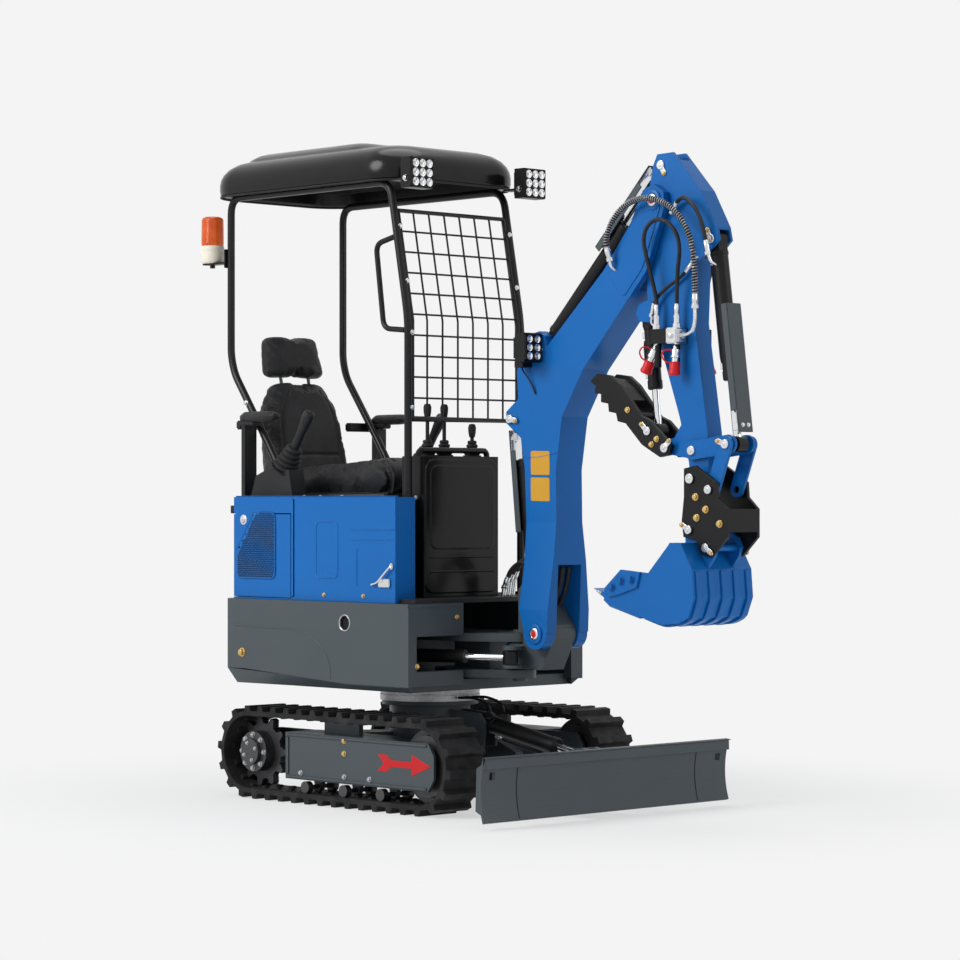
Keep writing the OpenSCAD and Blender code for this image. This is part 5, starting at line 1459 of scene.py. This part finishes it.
def make_guards():
    """Folded grey covers over the rods, which carry them."""
    for name, (a, b, length, half, stop) in LINES.items():
        span = math.dist(a, b)
        x0, x1 = span - length - 0.004, span - 0.036
        rise = 0.0352 if name == "bucket" else 0.0372
        guard = added([block((x0, -half, rise), (x1, half, rise + 0.0052), 0.0015),
                       block((x0, -half, rise - 0.022), (span - stop, -half + 0.0035, rise + 0.003), 0.001),
                       block((x0, half - 0.0035, rise - 0.022), (span - stop, half, rise + 0.003), 0.001)])
        turn = along(a, b)
        guard.transform(turn)
        put(name + "_rod_cover", "grey", name + "_rod", "grey_paint", guard)
        way = turn.to_3x3() @ Vector((0, 0, 1))
        places = [(turn @ Vector((span - 0.060, y, rise + 0.005)), way, 0.55) for y in (-0.014, 0.014)]
        bolts(name + "_cover_bolts", places, "bright", name + "_rod")


def make_barrels():
    """End caps, ports and pipes on the cylinders' barrels."""
    ends = {"boom": (0.470, 0.031), "arm": (0.540, 0.031), "bucket": (0.480, 0.028), "blade": (0.370, 0.031),
            "thumb": (0.262, 0.024)}
    lines = dict(LINES, blade=((0.300, 0.300), (0.800, 0.205)), thumb=((1.112, 1.752), (1.154, 1.346)))
    for name, (length, radius) in ends.items():
        turn = along(lines[name][0], lines[name][1])
        cap = lathe([(radius - 0.006, length - 0.030), (radius + 0.002, length - 0.030),
                     (radius + 0.002, length - 0.004),
                     (radius - 0.002, length + 0.001), (radius - 0.014, length + 0.001),
                     (radius - 0.014, length - 0.002),
                     (radius - 0.006, length - 0.030)], (0, 0, 0), (1, 0, 0), 36)
        foot = lathe([(0, 0.043), (radius + 0.002, 0.043), (radius + 0.002, 0.054), (radius - 0.001, 0.056),
                      (0, 0.056)],
                     (0, 0, 0), (1, 0, 0), 36)
        low = -radius
        ports = [block((x - 0.011, -0.011, low - 0.010), (x + 0.011, 0.011, low + 0.006), 0.002)
                 for x in (0.072, length - 0.050)]
        pipe = tube(bent_path([(length - 0.050, 0, low - 0.006), (length - 0.080, 0, low - 0.012),
                               (0.110, 0, low - 0.012), (0.090, 0, low - 0.008)], 0.012), 0.008, 10)
        for part in (cap, foot, pipe, *ports):
            part.transform(turn)
        put(name + "_barrel_ends", "black", name + "_barrel", "black_paint", cap, foot)
        put(name + "_barrel_ports", "bright", name + "_barrel", "bare_steel", *ports)
        put(name + "_barrel_pipe", "black", name + "_barrel", "black_paint", pipe)


def make_rod_eyes():
    eyes = {"boom": (0.494, 1.399), "arm": (1.197, 2.256), "bucket": (1.517, 1.297), "blade": (0.800, 0.205),
            "thumb": (1.154, 1.346)}
    profile = [(0, -0.0223), (0.0274, -0.0223), (0.0274, 0.0223), (0, 0.0223)]
    for name, (x, z) in eyes.items():
        put(name + "_rod_eye", "black", name + "_rod", "black_paint",
            lathe(profile, (x, 0, z), (0, 1, 0), 36))
    put("swing_rod_eye", "black", "swing_rod", "black_paint",
        lathe(profile, (0.554, -0.127, 0.550), (0, 0, 1), 36))


def make_pins():
    """Pin heads with keeper plates and bolts; the boom's and arm's main pivots have red plugs."""
    rows = [("arm", (1.197, 2.256), 0.037, 0.0165, (0.5, -0.85)),
            ("arm", (1.428, 1.990), 0.0395, 0.0165, (-0.4, 0.9)),
            ("boom", (0.635, 1.672), 0.065, 0.0165, (0.3, -0.95)),
            ("boom", (0.494, 1.399), 0.072, 0.0165, (0.95, -0.2)),
            ("swing_post", (0.555, 0.789), 0.0505, 0.0175, None),
            ("arm", (1.234, 1.287), 0.0595, 0.0165, (0.7, 0.7)),
            ("thumb", (1.154, 1.346), 0.0595, 0.0155, (-0.7, 0.7)),
            ("rocker", (1.517, 1.297), 0.0685, 0.0165, (-0.9, 0.3)),
            ("arm", (1.352, 1.277), 0.0535, 0.0165, None), ("bucket", (1.459, 1.145), 0.0885, 0.0155, None),
            ("bucket", (1.371, 1.009), 0.0885, 0.0155, (-0.8, 0.5)),
            ("bucket", (1.448, 0.949), 0.0885, 0.0155, (0.8, -0.5)),
            ("arm", (1.376, 1.182), 0.0885, 0.0175, None)]
    keepers = {}
    for body, (x, z), y, radius, way in rows:
        head = [lathe([(0, -0.003), (radius, -0.003), (radius, 0.003), (radius - 0.002, 0.005),
                       (0.006, 0.005),
                       (0.005, 0.007), (0, 0.007)], (x, -y, z), RIGHT, 28)]
        if way:
            centre, ahead = Vector((x, 0, z)), Vector((way[0], 0, way[1]))
            far, tip = centre + ahead * 0.034, centre + ahead * 0.042
            side = Vector((-way[1], 0, way[0])) * 0.010
            outline = [(p.x, p.z) for p in (centre + side, far + side, tip + side * 0.4, tip - side * 0.4,
                                            far - side, centre - side)]
            head.append(slab(outline, -y - 0.003, -y + 0.001, 0.0008, 1))
            for s in (-1, 1):
                keepers.setdefault(body, []).append(((far.x, s * (y + 0.003), far.z), (0, s, 0), 0.6))
        put("pin_heads_" + body, "bright", body, "bare_steel", both_sides(added(head)))
    for body, places in keepers.items():
        bolts("keeper_bolts_" + body, places, "zinc", body)
    for (x, z), y in (((0.655, 0.636), 0.1095), ((1.187, 2.135), 0.0705)):
        put("pivot_rings", "bright", "boom", "bare_steel", both_sides(
            lathe([(0.0115, -0.002), (0.021, -0.002), (0.021, 0.002), (0.019, 0.0035), (0.0125, 0.0035),
                   (0.0115, 0.002),
                   (0.0115, -0.002)], (x, -y, z), RIGHT, 32)))
        put("pivot_plugs", "red_cap", "boom", "black_plastic", both_sides(
            lathe([(0, -0.001), (0.0112, -0.001), (0.0112, 0.002), (0.009, 0.003), (0, 0.003)], (x, -y, z),
                  RIGHT, 24)))
        put("pivot_bosses", "blue", "boom", "blue_paint", both_sides(
            lathe([(0.0215, -0.006), (0.036, -0.006), (0.036, 0.0), (0.034, 0.0015), (0.0225, 0.0015),
                   (0.0215, 0),
                   (0.0215, -0.006)], (x, -y, z), RIGHT, 36)))


def make_boom():
    for low, high in ((1.104, 1.190), (1.197, 1.284)):
        plate = rounded_outline([(0.596, high), (0.690, high - 0.002), (0.691, low), (0.597, low + 0.002)],
                                0.008)
        put("blank_plates", "yellow", "boom", "blue_paint", slab(plate, -0.0668, -0.0648, 0.0004, 1))
    # Doubler plates on the boom's sides, and a weld bead across them
    doubler = rounded_outline([(0.972, 1.900), (1.080, 2.036), (1.150, 2.160), (1.210, 2.150), (1.222, 2.110),
                               (1.140, 1.905), (1.048, 1.806)], 0.02)
    put("boom_doublers", "blue", "boom", "blue_paint", both_sides(slab(doubler, -0.0680, -0.0640, 0.0012, 1)))
    bead = [Vector((x, 0.0652, z)) for x, z in ((0.566, 1.26), (0.640, 1.262), (0.724, 1.275))]
    put("weld_beads", "blue", "boom", "blue_paint", both_sides(tube(bead, 0.004, 8)))
    # Lead to the boom's lamp
    hose("lamp_lead",
         [(0.600, -0.100, 1.640), (0.582, -0.096, 1.632), (0.566, -0.090, 1.606), (0.572, -0.083, 1.572),
                       (0.592, -0.078, 1.545), (0.610, -0.073, 1.516), (0.622, -0.069, 1.486)], 0.006, "boom")
    # Hoses between the upper structure, the swing post and the boom
    for k, (y, z) in enumerate(((0.060, 0.0), (0.082, 0.010), (0.104, 0.020))):
        path = hose(f"swing_hose_{k + 1}", [
            (0.338, y, 0.800 + z), (0.366, y, 0.852 + z), (0.412, y + 0.002, 0.880 + z),
            (0.460, y + 0.004, 0.866 + z),
            (0.496, y * 0.86 + 0.014, 0.812 + z), (0.520, y * 0.62 + 0.034, 0.752 + z),
            (0.534, y * 0.55 + 0.036, 0.700 + z)
        ], SWING_HOSE_D, None, ("upper", "swing_post", (0.37, 0, 0.8), (0.53, 0, 0.75)))
        put("swing_hose_feet", "bright", "upper", "bare_steel", *ferrule(path[0], path[1], SWING_HOSE_D),
            lathe([(0, 0), (0.010, 0), (0.010, 0.044 + z), (0, 0.044 + z)], (0.328, y, 0.756), (0.2, 0, 1),
                  12))
        put("swing_hose_ends", "bright", "swing_post", "bare_steel",
            *ferrule(path[-1], path[-2], SWING_HOSE_D),
            tube(smooth_path([path[-1], path[-1] + Vector((0.003, -0.008, -0.022)),
                              Vector((path[-1].x + 0.006, 0.050, path[-1].z - 0.040))]), 0.012, 10))
    for k, y in enumerate((-0.034, 0.0, 0.034)):
        hose(f"boom_foot_hose_{k + 1}", [
            (0.618, y, 0.700), (0.640, y, 0.734), (0.662, y, 0.776), (0.678, y, 0.822), (0.686, y, 0.872)
        ], 0.018, None, ("swing_post", "boom", (0.63, 0, 0.72), (0.68, 0, 0.86)))


def make_tools():
    back = [Vector((x, 0, z)) for x, z in (
        (1.215, 0.711), (1.303, 0.688), (1.345, 0.690), (1.380, 0.694), (1.406, 0.703), (1.426, 0.715),
        (1.441, 0.745), (1.452, 0.780), (1.448, 0.830), (1.444, 0.872))]
    curve = smooth_path(back, 3)
    out, low = [], []
    for i, p in enumerate(curve):
        ahead = (curve[min(i + 1, len(curve) - 1)] - curve[max(i - 1, 0)]).normalized()
        normal = Vector((ahead.z, 0, -ahead.x))
        out.append(p + normal * 0.006)
        low.append(p - normal * 0.003)
    strap = [(p.x, p.z) for p in out] + [(p.x, p.z) for p in reversed(low)]
    for y in (-0.126, -0.063, 0.0, 0.063, 0.126):
        put("wear_straps", "blue", "bucket", "blue_paint", slab(strap, y - 0.012, y + 0.012, 0.0015, 1))
    places = [((x, s * 0.158, z), (0, s, 0), 1.15) for s in (-1, 1)
              for x, z in ((1.082, 0.812), (1.124, 0.834), (1.172, 0.840))]
    bolts("cutter_bolts", places, "blue", "bucket", "blue_paint")
    lip = [(1.036, 0.772), (1.066, 0.751), (1.206, 0.713), (1.204, 0.707), (1.064, 0.744), (1.034, 0.766)]
    put("bucket_lip", "blue", "bucket", "blue_paint", slab(lip, -0.150, 0.150, 0.001, 1))
    put("tooth_tips", "steel", "bucket", "bare_steel", *[
        slab([(0.986, 0.8065), (1.020, 0.782), (1.024, 0.794)], y - 0.0245, y + 0.0245, 0.0008, 1)
        for y in (-0.126, 0.0, 0.126)])
    # Locking bar and bolts of the hitch, bolts and tie of the thumb
    put("hitch_lock", "steel", "bucket", "bare_steel",
        lathe([(0, -0.070), (0.012, -0.070), (0.012, 0.070), (0, 0.070)], (1.500, 0, 1.042), (0, 1, 0), 20))
    bolts("hitch_bolts", [((x, s * 0.083, z), (0, s, 0), 0.95) for s in (-1, 1)
                          for x, z in ((1.400, 1.120), (1.446, 1.078), (1.508, 1.030), (1.405, 1.050))],
                          "zinc", "bucket")
    bolts("thumb_bolts", [((x, s * 0.056, z), (0, s, 0), 0.8) for s in (-1, 1)
                          for x, z in ((1.196, 1.318), (1.172, 1.300), (1.060, 1.420))], "zinc", "thumb")
    put("thumb_ties", "black", "thumb", "black_paint",
        lathe([(0, -0.041), (0.012, -0.041), (0.012, 0.041), (0, 0.041)], (1.092, 0, 1.400), (0, 1, 0), 20))


scene.view_settings.view_transform = "Standard"
set_camera()
set_light()
lay_floor()
arm_hoses()
make_boom()
finish_nodes()
couplers()
make_seat()
make_canopy()
make_lamps()
make_controls()
make_covers()
make_undercarriage()
make_guards()
make_barrels()
make_rod_eyes()
make_pins()
make_tools()
make_groups()
